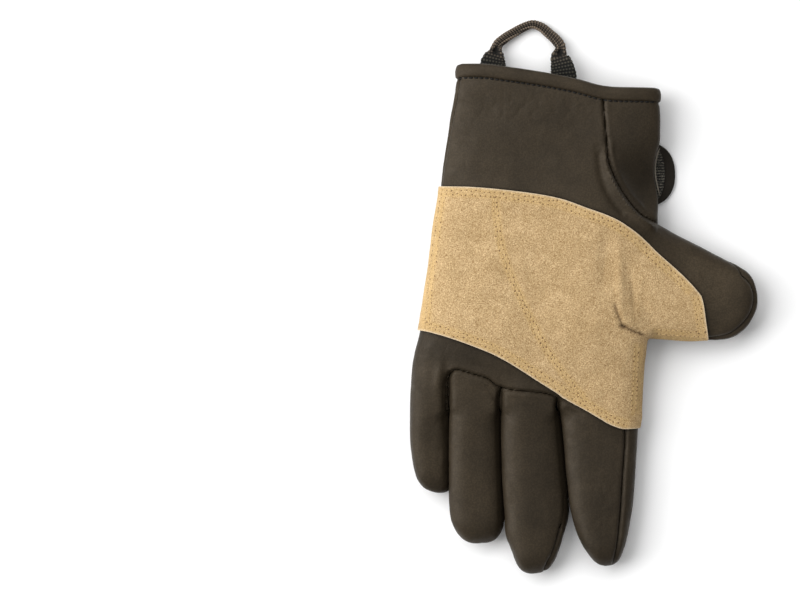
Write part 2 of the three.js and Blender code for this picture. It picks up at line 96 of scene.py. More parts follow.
# Rows of the hand: photograph row, left and right edge, front height as a share of PALM_HEIGHT
# and rest height as a share of WRIST_RISE
HAND_ROWS = [
    (30, 459.5, 657.5, 0.78, 1.0),
    (72, 457.2, 656.6, 0.80, 1.0),
    (96, 454.4, 657.4, 0.82, 1.0),
    (120, 449.8, 659.0, 0.84, 1.0),
    (138, 447.4, 659.0, 0.86, 1.0),
    (147, 445.8, 657.8, 0.87, 1.0),
    (156, 444.4, 655.0, 0.88, 1.0),
    (166, 442.9, 653.2, 0.90, 1.0),
    (176, 441.8, 653.2, 0.91, 1.0),
    (188, 440.6, 655.2, 0.93, 1.0),
    (200, 439.1, 657.0, 0.945, 1.0),
    (212, 437.4, 657.0, 0.96, 1.0),
    (224, 435.4, 656.0, 0.98, 0.85),
    (256, 431.6, 652.5, 1.00, 0.35),
    (288, 426.8, 648.5, 1.00, 0.0),
    (320, 422.0, 645.0, 0.99, 0.0),
    (336, 418.8, 643.8, 0.97, 0.0),
    (352, 414.6, 642.0, 0.93, 0.0),
    (368, 412.0, 640.6, 0.88, 0.0),
    (384, 411.0, 640.0, 0.82, 0.0),
    (400, 410.5, 639.4, 0.76, 0.0),
    (412, 410.4, 639.0, 0.71, 0.0),
]
# First and last row of its rings
HAND_TOP, HAND_END = 30, 412

# Rows of each finger down to its tip: photograph row, left and right edge
LITTLE_ROWS = [
    (366, 416.0, 446.0), (392, 410.6, 449.2), (424, 410.2, 449.4), (440, 410.4, 449.4), (456, 412.2, 449.4),
    (464, 413.4, 449.4), (472, 415.2, 449.4), (478, 417.2, 449.4), (483, 420.2, 449.3), (487, 424.0, 449.0),
    (490, 429.5, 448.0), (491.8, 435.5, 445.5), (492.4, 439.0, 442.0),
]
RING_ROWS = [
    (366, 453.0, 497.0), (384, 449.9, 500.2), (420, 449.7, 500.2), (460, 449.6, 501.0), (496, 449.4, 502.6),
    (508, 450.0, 503.0), (516, 450.8, 502.8), (524, 453.0, 501.8), (530, 455.8, 500.2), (535, 459.4, 498.2),
    (539, 463.6, 494.8), (541.6, 469.0, 489.5), (542.6, 474.5, 484.0),
]
MIDDLE_ROWS = [
    (372, 505.0, 553.0), (392, 501.5, 555.6), (420, 501.3, 559.6), (460, 502.0, 563.6), (500, 503.6, 566.4),
    (512, 504.6, 566.8), (520, 505.0, 566.2), (528, 505.0, 564.4), (536, 506.2, 562.2), (544, 509.2, 560.0),
    (552, 512.2, 557.2), (558, 514.2, 554.8), (563, 516.4, 551.8), (567.5, 519.4, 548.2),
    (571, 524.0, 543.0), (572.6, 530.0, 537.5),
]
INDEX_ROWS = [
    (380, 562.0, 636.0), (400, 558.6, 639.4), (416, 559.8, 639.6), (424, 560.8, 637.6), (440, 562.4, 636.4),
    (456, 563.8, 635.4), (472, 565.4, 634.4), (488, 567.4, 633.4), (500, 568.8, 632.4), (512, 570.6, 631.0),
    (520, 572.4, 629.6), (528, 574.6, 628.2), (536, 577.4, 626.6), (544, 581.4, 624.4), (551, 586.0, 622.0),
    (557, 590.4, 619.4), (561.5, 595.0, 616.2), (564.3, 600.5, 611.5), (565.2, 604.5, 608.0),
]
FINGERS = [LITTLE_ROWS, RING_ROWS, MIDDLE_ROWS, INDEX_ROWS]
# How far each finger rolls to the thumb's side, as a fall in millimetres across its width
FINGER_ROLL = [1.2, 1.6, 1.8, 1.6]
# Where neighbouring fingers meet: photograph rows and columns
FINGER_LINES = [
    [(360, 449.5), (416, 449.4), (600, 449.4)],
    [(360, 500.6), (388, 500.8), (420, 500.7), (460, 501.5), (500, 503.1), (600, 503.6)],
    [(360, 551.0), (398, 557.0), (420, 560.0), (460, 563.7), (500, 567.6), (600, 575.0)],
]
# Row of the forks between fingers
CROTCH_ROW = 414

# Sections of the thumb: upper and lower end in photograph pixels, front height as a share of
# THUMB_HEIGHT and rest height as a share of WRIST_RISE
THUMB_SECTIONS = [
    (556, 212, 590, 322, 1.16, 0.5),
    (612, 203, 620, 334, 1.20, 0.3),
    (655, 222.6, 645, 335.5, 1.14, 0.0),
    (676, 234.8, 668, 337.6, 1.07, 0.0),
    (698, 246.0, 690, 339.2, 1.01, 0.0),
    (725, 260.0, 711, 340.2, 0.95, 0.0),
    (737, 266.5, 722, 339.4, 0.92, 0.0),
    (745, 271.6, 732, 336.6, 0.88, 0.0),
    (750.2, 277.6, 740, 331.8, 0.83, 0.0),
    (753.4, 285.4, 746.6, 325.0, 0.76, 0.0),
    (755.2, 293.4, 751.6, 316.4, 0.67, 0.0),
    (756.0, 300.8, 754.8, 309.4, 0.56, 0.0),
]


def at(pixels):
    """Millimetres of photograph pixels: one pair or a list of them."""
    turned = (np.asarray(pixels, float) - ORIGIN_PIXEL) * PIXEL
    return turned * np.array([1.0, -1.0])


def pixel_of(plan):
    """Photograph pixels of places in millimetres."""
    return plan * np.array([1.0, -1.0]) / PIXEL + ORIGIN_PIXEL


def unit(values):
    """Values held between 0 and 1."""
    return np.clip(values, 0.0, 1.0)


def eased(share):
    """A share from 0 to 1 that starts and ends slowly."""
    return share * share * (3 - 2 * share)


def hump(offset, half):
    """A soft hump of height one."""
    return np.exp(-((offset / half) ** 2))


def swung(values, power):
    """Values raised to a power with their signs kept."""
    return np.sign(values) * np.abs(values) ** power


def turns(count, start=0.0):
    """Angles spaced evenly round a circle."""
    return 2 * math.pi * (np.arange(count) + start) / count


def zipped(*parts):
    """Arrays as the columns of one."""
    return np.stack(parts, axis=1)


def unit_rows(vectors):
    return vectors / np.linalg.norm(vectors, axis=1, keepdims=True)


def lengths_along(line):
    """The length of a line up to each of its points."""
    return np.r_[0, np.cumsum(np.linalg.norm(np.diff(line, axis=0), axis=1))]


def right_of(line):
    """Unit vectors to the right of a line in plan."""
    way = unit_rows(np.gradient(line, axis=0))
    return zipped(way[:, 1], -way[:, 0])


def raised(plan, height):
    """Places in plan with a height."""
    return np.column_stack([plan, np.broadcast_to(height, len(plan))])


def smooth_curve(xs, ys, where):
    """A curve without overshoot through the points of a table, read at where."""
    xs = np.asarray(xs, float)
    ys = np.asarray(ys, float)
    steps = np.diff(xs)
    slopes = np.diff(ys) / steps
    tangents = np.zeros_like(ys)
    same = slopes[:-1] * slopes[1:] > 0
    first = 2 * steps[1:] + steps[:-1]
    second = steps[1:] + 2 * steps[:-1]
    with np.errstate(divide="ignore", invalid="ignore"):
        mean = (first + second) / (first / slopes[:-1] + second / slopes[1:])
    tangents[1:-1] = np.where(same, mean, 0)
    tangents[0] = slopes[0]
    tangents[-1] = slopes[-1]
    where = np.clip(where, xs[0], xs[-1])
    cell = np.clip(np.searchsorted(xs, where, side="right") - 1, 0, len(steps) - 1)
    t = (where - xs[cell]) / steps[cell]
    return (
        ys[cell] * (1 + 2 * t) * (1 - t) ** 2
        + tangents[cell] * steps[cell] * t * (1 - t) ** 2
        + ys[cell + 1] * t * t * (3 - 2 * t)
        + tangents[cell + 1] * steps[cell] * t * t * (t - 1)
    )


def columns_at(table, keys, where):
    """The columns of a table, each read along a smooth curve over its keys."""
    return np.stack([smooth_curve(keys, column, where) for column in table.T], axis=1)


def read_off(table, where):
    """The second column of a table at places along its first."""
    return smooth_curve(*np.array(table).T, where)


def smooth_line(points, spacing=1.5):
    """A line through points, rounded by a curve and resampled at a spacing, in their own units."""
    points = np.asarray(points, float)
    lengths = lengths_along(points)
    where = np.linspace(0, lengths[-1], max(int(lengths[-1] / spacing), 2) + 1)
    return columns_at(points, lengths, where)


# Plain mesh tools on arrays of vertices and triangles


def loft(rings):
    """Vertices and faces of a closed skin through rings with the same number of points."""
    rings = np.asarray(rings)
    count, sides = rings.shape[:2]
    index = np.arange(count * sides).reshape(count, sides)
    turned = np.roll(index, -1, axis=1)
    quads = np.stack([index[:-1], turned[:-1], turned[1:], index[1:]], axis=-1).reshape(-1, 4)
    faces = [tuple(q) for q in quads]
    faces.append(tuple(index[0][::-1]))
    faces.append(tuple(index[-1]))
    return rings.reshape(-1, 3), faces


def joined(parts):
    """One list of vertices and faces from several."""
    verts, faces, start = [], [], 0
    for part_verts, part_faces in parts:
        verts.append(part_verts)
        faces += [tuple(int(i) + start for i in face) for face in part_faces]
        start += len(part_verts)
    return np.concatenate(verts), faces


def mesh_of(name, verts, faces):
    mesh = bpy.data.meshes.new(name)
    mesh.from_pydata([tuple(v) for v in verts * MM], [], faces)
    mesh.validate()
    return mesh


def shown(name, data):
    """An object from a mesh, a light or a camera, put into the scene."""
    thing = bpy.data.objects.new(name, data)
    bpy.context.scene.collection.objects.link(thing)
    return thing


def fast_mesh(name, verts, tris):
    """A mesh from arrays, with its vertices in millimetres."""
    mesh = bpy.data.meshes.new(name)
    mesh.vertices.add(len(verts))
    mesh.vertices.foreach_set("co", (verts * MM).astype(np.float32).ravel())
    mesh.loops.add(tris.size)
    mesh.loops.foreach_set("vertex_index", tris.astype(np.int32).ravel())
    mesh.polygons.add(len(tris))
    mesh.polygons.foreach_set("loop_start", np.arange(0, tris.size, 3, dtype=np.int32))
    mesh.update(calc_edges=True)
    return mesh


def arrays_of(mesh):
    """Vertices in millimetres and triangles of a mesh."""
    verts = np.zeros(len(mesh.vertices) * 3, np.float32)
    mesh.vertices.foreach_get("co", verts)
    mesh.calc_loop_triangles()
    tris = np.zeros(len(mesh.loop_triangles) * 3, np.int32)
    mesh.loop_triangles.foreach_get("vertices", tris)
    return verts.reshape(-1, 3).astype(float) / MM, tris.reshape(-1, 3)


def normals_of(verts, tris):
    cross = np.cross(verts[tris[:, 1]] - verts[tris[:, 0]], verts[tris[:, 2]] - verts[tris[:, 0]])
    total = np.zeros_like(verts)
    for corner in range(3):
        for axis in range(3):
            total[:, axis] += np.bincount(tris[:, corner], cross[:, axis], len(verts))
    return total / np.maximum(np.linalg.norm(total, axis=1, keepdims=True), 1e-12)


def outward(verts, tris):
    """Triangles of a closed surface turned to look outwards."""
    volume = (verts[tris[:, 0]] * np.cross(verts[tris[:, 1]], verts[tris[:, 2]])).sum()
    return tris[:, ::-1] if volume < 0 else tris


def smoothed(verts, tris, rounds, share=0.5):
    """Vertices moved towards the mean of their neighbours, then back, so that the form keeps its size."""
    a = np.concatenate([tris[:, 0], tris[:, 1], tris[:, 2]])
    b = np.concatenate([tris[:, 1], tris[:, 2], tris[:, 0]])
    count = np.maximum(np.bincount(a, minlength=len(verts)), 1)[:, None]
    for number in range(rounds):
        mean = np.stack([np.bincount(a, verts[b, k], len(verts)) for k in range(3)], axis=1) / count
        factor = share if number % 2 == 0 else -share * 0.98
        verts = verts + factor * (mean - verts)
    return verts


def softened(verts, tris, soft, rounds, share):
    """Vertices moved towards the mean of their neighbours by a weight of their own."""
    for _ in range(rounds):
        verts = verts + soft[:, None] * (smoothed(verts, tris, 1, share) - verts)
    return verts


def clip(values, tris, field):
    """Keeps the part of a surface where field is above zero, cutting triangles on its zero line.

    values holds the vertices and whatever else is carried along in further columns."""
    inside = field > 0
    count = inside[tris].sum(axis=1)
    new_values = [values]
    new_tris = [tris[count == 3]]
    total = len(values)
    for wanted in (1, 2):
        chosen = tris[count == wanted]
        flags = inside[chosen] if wanted == 1 else ~inside[chosen]
        turn = flags.argmax(axis=1)
        rows = np.arange(len(chosen))
        lone = chosen[rows, turn]
        after = chosen[rows, (turn + 1) % 3]
        before = chosen[rows, (turn + 2) % 3]
        cuts = []
        for other in (after, before):
            low = np.minimum(lone, other)
            high = np.maximum(lone, other)
            t = field[low] / (field[low] - field[high])
            new_values.append(values[low] + (values[high] - values[low]) * t[:, None])
            cuts.append(total + rows)
            total += len(chosen)
        if wanted == 1:
            new_tris.append(zipped(lone, cuts[0], cuts[1]))
        else:
            new_tris.append(zipped(cuts[0], after, before))
            new_tris.append(zipped(cuts[0], before, cuts[1]))
    return welded(np.concatenate(new_values), np.concatenate(new_tris))


def welded(values, tris):
    """Joins vertices at one place and drops unused ones and flat triangles."""
    used = np.unique(tris)
    keys = np.round(values[used, :3] / 1e-4).astype(np.int64)
    kept, inverse = np.unique(keys, axis=0, return_inverse=True)
    inverse = inverse.ravel()
    first = np.zeros(len(kept), np.int64)
    first[inverse[::-1]] = np.arange(len(used))[::-1]
    lookup = np.zeros(len(values), np.int64)
    lookup[used] = inverse
    tris = lookup[tris]
    whole = (tris[:, 0] != tris[:, 1]) & (tris[:, 1] != tris[:, 2]) & (tris[:, 2] != tris[:, 0])
    return values[used][first], tris[whole]


def largest(values, tris):
    """The connected part of a surface with the most vertices."""
    label = np.arange(len(values))
    while True:
        low = label[tris].min(axis=1)
        new = label.copy()
        for corner in range(3):
            np.minimum.at(new, tris[:, corner], low)
        new = new[new]
        if (new == label).all():
            break
        label = new
    names, counts = np.unique(label[np.unique(tris)], return_counts=True)
    main = names[counts.argmax()]
    return welded(values, tris[label[tris[:, 0]] == main])


def thickened(verts, normals, tris, thickness):
    """A closed sheet: the surface, its inner copy and the rim that joins them."""
    count = len(verts)
    inner = verts - normals * thickness
    sides = np.concatenate([tris[:, [0, 1]], tris[:, [1, 2]], tris[:, [2, 0]]])
    keys = np.sort(sides, axis=1)
    code = keys[:, 0].astype(np.int64) * count + keys[:, 1]
    _, first, number = np.unique(code, return_index=True, return_counts=True)
    open_sides = sides[first[number == 1]]
    a, b = open_sides[:, 0], open_sides[:, 1]
    rim = np.concatenate([np.stack([b, a, a + count], 1), np.stack([b, a + count, b + count], 1)])
    all_tris = np.concatenate([tris, tris[:, ::-1] + count, rim])
    return np.concatenate([verts, inner]), all_tris


def lattice_noise(points, size, seed):
    """Smooth noise between -1 and 1 with cells of a given size."""
    table = np.random.default_rng(SEED + seed).random(4096) * 2 - 1
    scaled = points / size
    cell = np.floor(scaled).astype(np.int64)
    part = eased(scaled - cell)
    total = np.zeros(len(points))
    for corner in range(8):
        step = np.array([corner & 1, (corner >> 1) & 1, (corner >> 2) & 1])
        place = (cell + step) * HASH_PRIMES
        code = place[:, 0] ^ place[:, 1] ^ place[:, 2]
        weight = np.where(step == 1, part, 1 - part).prod(axis=1)
        total += weight * table[code % 4096]
    return total


def layered(points, layers):
    """Noises of several sizes added up."""
    return sum(depth * lattice_noise(points, size, seed) for size, seed, depth in layers)


def line_distance(plan, line):
    """Distance in plan to a line."""
    best = np.full(len(plan), np.inf)
    for start, end in zip(line[:-1], line[1:]):
        way = end - start
        offset = plan - start
        t = unit((offset @ way) / max(way @ way, 1e-12))
        best = np.minimum(best, ((offset - t[:, None] * way) ** 2).sum(axis=1))
    return np.sqrt(best)


def inside_distance(plan, outline):
    """Distance in plan to a closed outline, above zero inside it."""
    closed = np.concatenate([outline, outline[:1]])
    gap = line_distance(plan, closed)
    odd = np.zeros(len(plan), bool)
    for start, end in zip(closed[:-1], closed[1:]):
        if start[1] == end[1]:
            continue
        between = (start[1] > plan[:, 1]) != (end[1] > plan[:, 1])
        x = start[0] + (plan[:, 1] - start[1]) / (end[1] - start[1]) * (end[0] - start[0])
        odd ^= between & (plan[:, 0] < x)
    return np.where(odd, gap, -gap)


# The soft form of the whole glove


def soft_skin(left, right, edge, front, lowest, angle, roll, power):
    """Places on soft leather between left and right ends: an arch in front and one behind that is
    pressed flat. An angle of 0 is the right end and a quarter turn is the middle of the front."""
    across = swung(np.cos(angle), 2 / power)
    up = swung(np.sin(angle), 2 / power)
    plan = (left + right) / 2 + (right - left) / 2 * across[..., None]
    height = edge + np.where(up > 0, up * (front - edge), up * (edge - lowest + PRESSED_FLAT))
    height = height - np.where(up > 0, up, 0) * across * roll
    return np.concatenate([plan, np.maximum(height, lowest)[..., None]], axis=-1)


def soft_rings(left, right, edge, front, lowest, roll, power):
    """Rings of soft leather, one for each row of the arrays."""
    angle = np.broadcast_to(turns(FORM_SIDES, 0.5), (len(left), FORM_SIDES))
    rows = [part[:, None] for part in (left, right, edge, front, lowest)]
    return soft_skin(*rows, angle, roll, power)


def hand_section(rows):
    """Left and right ends, front and rest heights of the hand at photograph rows."""
    table = np.array(HAND_ROWS, float)
    left, right, front, rest = columns_at(table[:, 1:], table[:, 0], rows).T
    return at(zipped(left, rows)), at(zipped(right, rows)), front * PALM_HEIGHT, rest * WRIST_RISE


def hand_form():
    """Palm, back of the hand and cuff."""
    left, right, front, rest = hand_section(np.linspace(HAND_TOP, HAND_END, HAND_RINGS))
    return loft(soft_rings(left, right, (front + rest) / 2, front, rest, HAND_ROLL, HAND_POWER))


def finger_form(number):
    """One finger, its rings crowded towards the round tip."""
    table = np.array(FINGERS[number], float)
    top, last = table[0, 0], table[-1, 0]
    rows = top + (last - top) * (1 - (1 - np.linspace(0, 1, FINGER_RINGS)) ** TIP_CROWDING)
    left, right = columns_at(table[:, 1:], table[:, 0], rows).T
    near = unit((last - rows) / TIP_ROWS)
    round_tip = np.sqrt(np.maximum(1 - (1 - near) ** 2, 0.003))
    height = FINGER_HEIGHTS[number]
    rise = 1 + ROOT_RISE * unit((CROTCH_ROW + ROOT_REACH - rows) / (2 * ROOT_REACH)) ** 1.5
    edge = np.full_like(rows, height * 0.5)
    front = edge + (height * rise - edge) * round_tip
    lowest = edge * (1 - np.minimum(1, round_tip * 1.1))
    ends = at(zipped(left, rows)), at(zipped(right, rows))
    verts, faces = loft(soft_rings(*ends, edge, front, lowest, FINGER_ROLL[number], FINGER_POWER))
    return fingers_opened(verts, number), faces


def thumb_form():
    """The thumb, from rings across it down to its tip."""
    table = np.array(THUMB_SECTIONS, float)
    last = len(table) - 1
    where = np.linspace(0, last, THUMB_RINGS)
    read = columns_at(table, np.arange(last + 1.0), where)
    rest = read[:, 5] * WRIST_RISE
    tip = unit((where - THUMB_TIP_FROM) / (last - THUMB_TIP_FROM))
    lowest = rest + THUMB_HEIGHT * THUMB_TIP_RISE * tip**3
    edge = np.maximum((rest + THUMB_HEIGHT) / 2, lowest)
    front = np.maximum(read[:, 4] * THUMB_HEIGHT, edge + 0.5)
    return loft(soft_rings(at(read[:, 2:4]), at(read[:, :2]), edge, front, lowest, 0.0, THUMB_POWER))


def joined_form():
    """The union of hand, fingers and thumb as one even mesh."""
    verts, faces = joined([hand_form(), thumb_form()] + [finger_form(number) for number in range(4)])
    rough = shown("rough_form", mesh_of("rough_form", verts, faces))
    remesh = rough.modifiers.new("even", "REMESH")
    remesh.mode = "VOXEL"
    remesh.voxel_size = VOXEL * MM
    graph = bpy.context.evaluated_depsgraph_get()
    even = bpy.data.meshes.new_from_object(rough.evaluated_get(graph))
    verts, tris = arrays_of(even)
    bpy.data.objects.remove(rough)
    bpy.data.meshes.remove(even)
    return verts, outward(verts, tris)


def finger_columns(row):
    """Photograph columns of the lines between fingers, with the hand's two outer sides."""
    lines = [read_off(line, row) for line in FINGER_LINES]
    left = np.full_like(row, LITTLE_ROWS[2][1])
    right = smooth_curve(*np.array(INDEX_ROWS)[:, [0, 2]].T, row)
    return [left] + lines + [right]


def off_finger_lines(columns, row):
    """Pixels to the nearest line between fingers."""
    return np.min([np.abs(columns - line) for line in finger_columns(row)[1:4]], axis=0)


def closing_weight(number, row):
    """How far the two fingers beside a line are drawn together: from none at the palm to all."""
    return eased(unit((row - VALLEYS[number - 1][0] + 4) / 16))


def closed_columns(columns, row):
    """Columns after the sides of neighbouring fingers are moved up to each other."""
    lines = finger_columns(row)
    moved = columns.copy()
    near = FINGER_SPREAD / PIXEL
    squeezed = near * FINGER_CLOSED
    for number in (1, 2, 3):
        weight = closing_weight(number, row)
        for sign, other in ((-1, lines[number - 1]), (1, lines[number + 1])):
            lane = np.abs(other - lines[number]) / 2
            reach = (columns - lines[number]) * sign
            beside = (reach > 0) & (reach < lane)
            rest = squeezed + (reach - near) * (lane - squeezed) / np.maximum(lane - near, 1)
            new = np.where(reach < near, reach * FINGER_CLOSED, rest)
            new = reach + (new - reach) * weight
            moved[beside] = (lines[number] + sign * new)[beside]
    return moved


def fingers_opened(verts, number):
    """Moves a finger's skin to where closed_columns() brings it back from, clear of its neighbours."""
    columns, row = pixel_of(verts[:, :2]).T
    lines = finger_columns(row)
    apart = unit((row - (CROTCH_ROW - 14)) / 14) * FINGER_GAP / 2 / PIXEL
    low = lines[number] + apart * (number > 0)
    high = lines[number + 1] - apart * (number < 3)
    goal = np.clip(columns, np.where(number > 0, low, -np.inf), np.where(number < 3, high, np.inf))
    found = goal.copy()
    for _ in range(OPENING_ROUNDS):
        found += goal - closed_columns(found, row)
    opened = verts.copy()
    opened[:, 0] = at(zipped(found, row))[:, 0]
    return opened


def fingers_closed(verts):
    """Moves the sides of neighbouring fingers up to each other."""
    columns, row = pixel_of(verts[:, :2]).T
    closed = verts.copy()
    closed[:, 0] += (closed_columns(columns, row) - columns) * PIXEL
    return closed


def blended(verts, tris):
    """The form with its creases at the thumb and at the finger roots rounded as soft leather is."""
    columns, row = pixel_of(verts[:, :2]).T
    verts = smoothed(verts, tris, FORM_ROUNDS)
    (middle_column, middle_row), (wide, long) = THUMB_ROOT
    thumb = np.hypot((columns - middle_column) / wide, (row - middle_row) / long)
    roots = np.abs(row - FINGER_ROOT_ROW) / FINGER_ROOT_ROWS
    at_roots = unit(1.5 - roots) * unit(off_finger_lines(columns, row) / 5 - 0.4)
    soft = np.maximum(unit(1.6 - thumb), at_roots) * unit((verts[:, 2] - FRONT_FROM) / 5)
    return softened(verts, tris, soft, BLEND_ROUNDS, 0.9)


def slits_evened(verts, tris):
    """The sides of the slits between fingers without the small steps of the even mesh."""
    columns, row = pixel_of(verts[:, :2]).T
    gap = off_finger_lines(columns, row) * PIXEL
    soft = unit(1.5 - gap / SLIT_REACH) * unit((row - VALLEYS[0][0]) / 10)
    return softened(verts, tris, soft, SLIT_ROUNDS, 0.8)


# Seams on the palm side, in photograph pixels

WRIST_SEAM = [(602, 30), (602, 100), (604.5, 136), (607.5, 161), (614, 178), (626, 198), (640, 214),
              (655, 222.4)]
THUMB_TOP = [(676, 233.6), (698, 244.8), (725, 258.8), (745, 270), (770, 284), (900, 284), (900, 30)]
CROSS_SEAM = [(449.4, 380), (450.0, 374), (455.5, 369.5), (470, 373.2), (488, 379), (494, 384), (502, 388.5),
              (520, 390.6), (543, 393), (553, 396), (557, 398.5)]
CROSS_SPLIT = 6
INDEX_SEAM = [(624.6, 415), (624.4, 440), (622.4, 470), (620, 510), (617, 542), (614, 558), (609, 575)]
MIDDLE_SEAM = [(564.8, 470), (565.7, 486), (564.0, 508), (558.8, 532), (552.8, 551), (546.8, 563),
               (542, 575)]
INDEX_FAR = [(720, 575), (720, 415)]
# Rows of the lines between fingers that bound the fronts of ring and middle finger, and rows of the
# line that bounds the strip on the middle finger's side
FRONT_REACHES = [(380, 600), (388.5, 600), (398.5, 600)]
MIDDLE_REACH = (470, 572)
# Where the thumb's back ends, and how far it reaches up over the side beside the wrist's seam
BACK_THUMB_COLUMN = 628
FORK_ROW = 342
BACK_OVER_SIDE = 3
# Strips between fingers: first and last row of each, half width and heights in millimetres
STRIP_ROWS = [(415, 478), (415, 522), (415, 550)]
STRIP_HALF = 4.4
STRIP_LOW, STRIP_HIGH = 3.4, 9.4

# Height of the seam round the side of the hand, by photograph row on the little finger's side,
# and by column on the thumb's side
SIDE_LITTLE = [(30, 16.2), (120, 16.4), (180, 16.4), (215, 14.0), (300, 13.0), (366, 11.5), (410, 8.8),
               (600, 8.6)]
SIDE_THUMB = [(560, 12.0), (640, 11.0), (690, 12.0), (706, 13.2), (722, 13.9), (742, 15.2), (757, 14.0)]

# The cuff's edge in pixels, and how far below it the leather is cut, millimetres
HEM_ROWS = [(452, 72.0), (462, 69.2), (480, 69.4), (505, 72.3), (550, 79.2), (577, 84.8), (600, 91.0),
            (612, 92.4), (652, 93.2), (662, 94.6)]
HEM_EDGE = 0.6
# Where the seam round the thumb's tip comes up into view, and how much lower it lies before that
THUMB_TIP = (740, 283)
THUMB_SEAM_DROP = 5.0
# Column and row from which the side's height goes from the little finger's to the thumb's, and over
# how many pixels
SIDE_COLUMN, SIDE_COLUMNS = 520, 100
SIDE_ROW, SIDE_ROWS = 400, 40


def finger_line(number, reach):
    """The line between two fingers, in pixels, over a reach of rows."""
    rows = np.linspace(reach[0], reach[1], 25)
    return zipped(read_off(FINGER_LINES[number], rows), rows)


def outline_of(*pieces):
    """A closed outline in millimetres from lists of pixels."""
    return at(np.concatenate([np.asarray(piece, float) for piece in pieces]))


def side_heights(pixels):
    """Heights of the seam round the little finger's side and round the thumb's side."""
    return read_off(SIDE_LITTLE, pixels[:, 1]), read_off(SIDE_THUMB, pixels[:, 0])


def seam_fields(verts):
    """For each leather panel, a distance that is above zero on it and zero at its seams."""
    plan = verts[:, :2]
    pixels = pixel_of(plan)
    height = verts[:, 2]
    little, thumb = side_heights(pixels)
    above = unit((THUMB_TIP[1] - pixels[:, 1]) / 10) * unit((THUMB_TIP[0] - pixels[:, 0]) / 12)
    thumb = thumb - THUMB_SEAM_DROP * above
    share = unit((pixels[:, 0] - SIDE_COLUMN) / SIDE_COLUMNS) * unit((SIDE_ROW - pixels[:, 1]) / SIDE_ROWS)
    side = height - (little + (thumb - little) * share)

    wrist = inside_distance(plan, outline_of(smooth_line(WRIST_SEAM, 3), THUMB_TOP))
    cross = smooth_line(CROSS_SEAM[:CROSS_SPLIT + 1], 2), smooth_line(CROSS_SEAM[CROSS_SPLIT:], 2)
    lines = [finger_line(number, reach) for number, reach in enumerate(FRONT_REACHES)]
    ring = inside_distance(plan, outline_of(cross[0], lines[1], lines[0][::-1]))
    middle = inside_distance(plan, outline_of(cross[1], lines[2], lines[1][::-1]))
    index = inside_distance(plan, outline_of(smooth_line(INDEX_SEAM, 4), INDEX_FAR))
    side_line = finger_line(2, MIDDLE_REACH)[::-1]
    middle_side = inside_distance(plan, outline_of(smooth_line(MIDDLE_SEAM, 3), side_line))
    thumb_back = np.minimum(pixels[:, 0] - BACK_THUMB_COLUMN, FORK_ROW - pixels[:, 1]) * PIXEL

    strips = []
    for number, (top, bottom) in enumerate(STRIP_ROWS):
        column = read_off(FINGER_LINES[number], pixels[:, 1])
        beside = STRIP_HALF - np.abs(pixels[:, 0] - column) * PIXEL
        along = np.minimum(pixels[:, 1] - top, bottom - pixels[:, 1]) * PIXEL
        strip = np.minimum(np.minimum(beside, along), STRIP_HIGH - height)
        if number == 2:
            strip = np.maximum(strip, middle_side)
        strips.append(np.minimum(strip, height - STRIP_LOW))
    clear = -np.max(strips, axis=0)

    fields = {
        "palm_panel": np.minimum.reduce([side, -wrist, -ring, -middle, -index, clear]),
        "ring_front": np.minimum.reduce([side, ring, clear]),
        "middle_front": np.minimum.reduce([side, middle, clear]),
        "thumb_back": np.maximum(np.minimum(wrist, side + BACK_OVER_SIDE), np.minimum(-side, thumb_back)),
        "back_panel": np.minimum(np.maximum(np.minimum(-side, -thumb_back), index), clear),
    }
    for number, name in enumerate(("little_ring", "ring_middle", "middle_index")):
        fields["fourchette_" + name] = strips[number]
    return fields


# Dents, ridges and folds on the palm side: middle in pixels, half sizes in millimetres, turn in
# degrees and depth in millimetres, below zero for a ridge

DENTS = [
    (632, 178, 6.0, 12.0, -24, 2.2),
    (630.5, 293, 2.0, 9.5, -7, 0.85),
    (617.3, 280, 1.9, 13.0, -1, -0.85),
    (603, 262, 3.2, 15.0, 4, 0.7),
    (641, 303, 2.8, 10.0, -20, 0.6),
    (621.2, 325.9, 1.7, 1.0, 20, 3.0),
    (647, 330, 3.2, 2.4, 0, -1.2),
    (470, 250, 10.0, 18.0, 10, 0.7),
    (540, 290, 14.0, 12.0, -30, 0.6),
    (505, 330, 10.0, 8.0, 20, -0.5),
    (438.5, 377, 2.3, 6.5, 6, -1.0),
    (446, 394, 2.3, 12.0, 0, 1.7),
    (500, 404, 2.0, 9.0, 0, 1.0),
    (575, 120, 10.0, 12.0, 20, 0.5),
    (480, 110, 12.0, 9.0, -10, 0.5),
]
# Creases above and below the dark pit under the thumb, in pixels
FORK_CREASES = [
    [(613, 304), (616, 314), (620.5, 324)],
    [(620.5, 325), (626, 328), (632, 331.2), (641, 334.4)],
]
# Creases along lines, in pixels: depth and half width in millimetres
CREASES = [
    (FORK_CREASES[0], 1.8, 0.75),
    (FORK_CREASES[1], 2.2, 0.75),
    ([(602.5, 152), (604, 165), (609.5, 181), (621, 202), (636, 219), (652, 230)], -1.25, 1.15),
    ([(606, 172), (613, 190), (624, 206), (638, 220), (656, 231)], -1.0, 1.4),
    ([(597, 150), (598.5, 170), (603, 187), (612, 203), (624, 217)], 0.9, 1.7),
    ([(609, 140), (612, 161), (618.5, 176), (630.5, 195), (644, 211)], -0.5, 0.7),
    ([(506, 372), (520, 378), (537, 383)], 0.25, 1.3),
    ([(470, 362), (484, 368), (498, 376)], 0.25, 1.3),
    ([(484, 383), (491, 391), (497, 403)], 0.55, 1.1),
    ([(560, 399), (574, 404), (592, 413)], 0.40, 0.9),
    ([(562, 407), (574, 413), (586, 422)], 0.34, 0.9),
]
# Length over which a crease starts and ends, millimetres
CREASE_FADE = 2.4
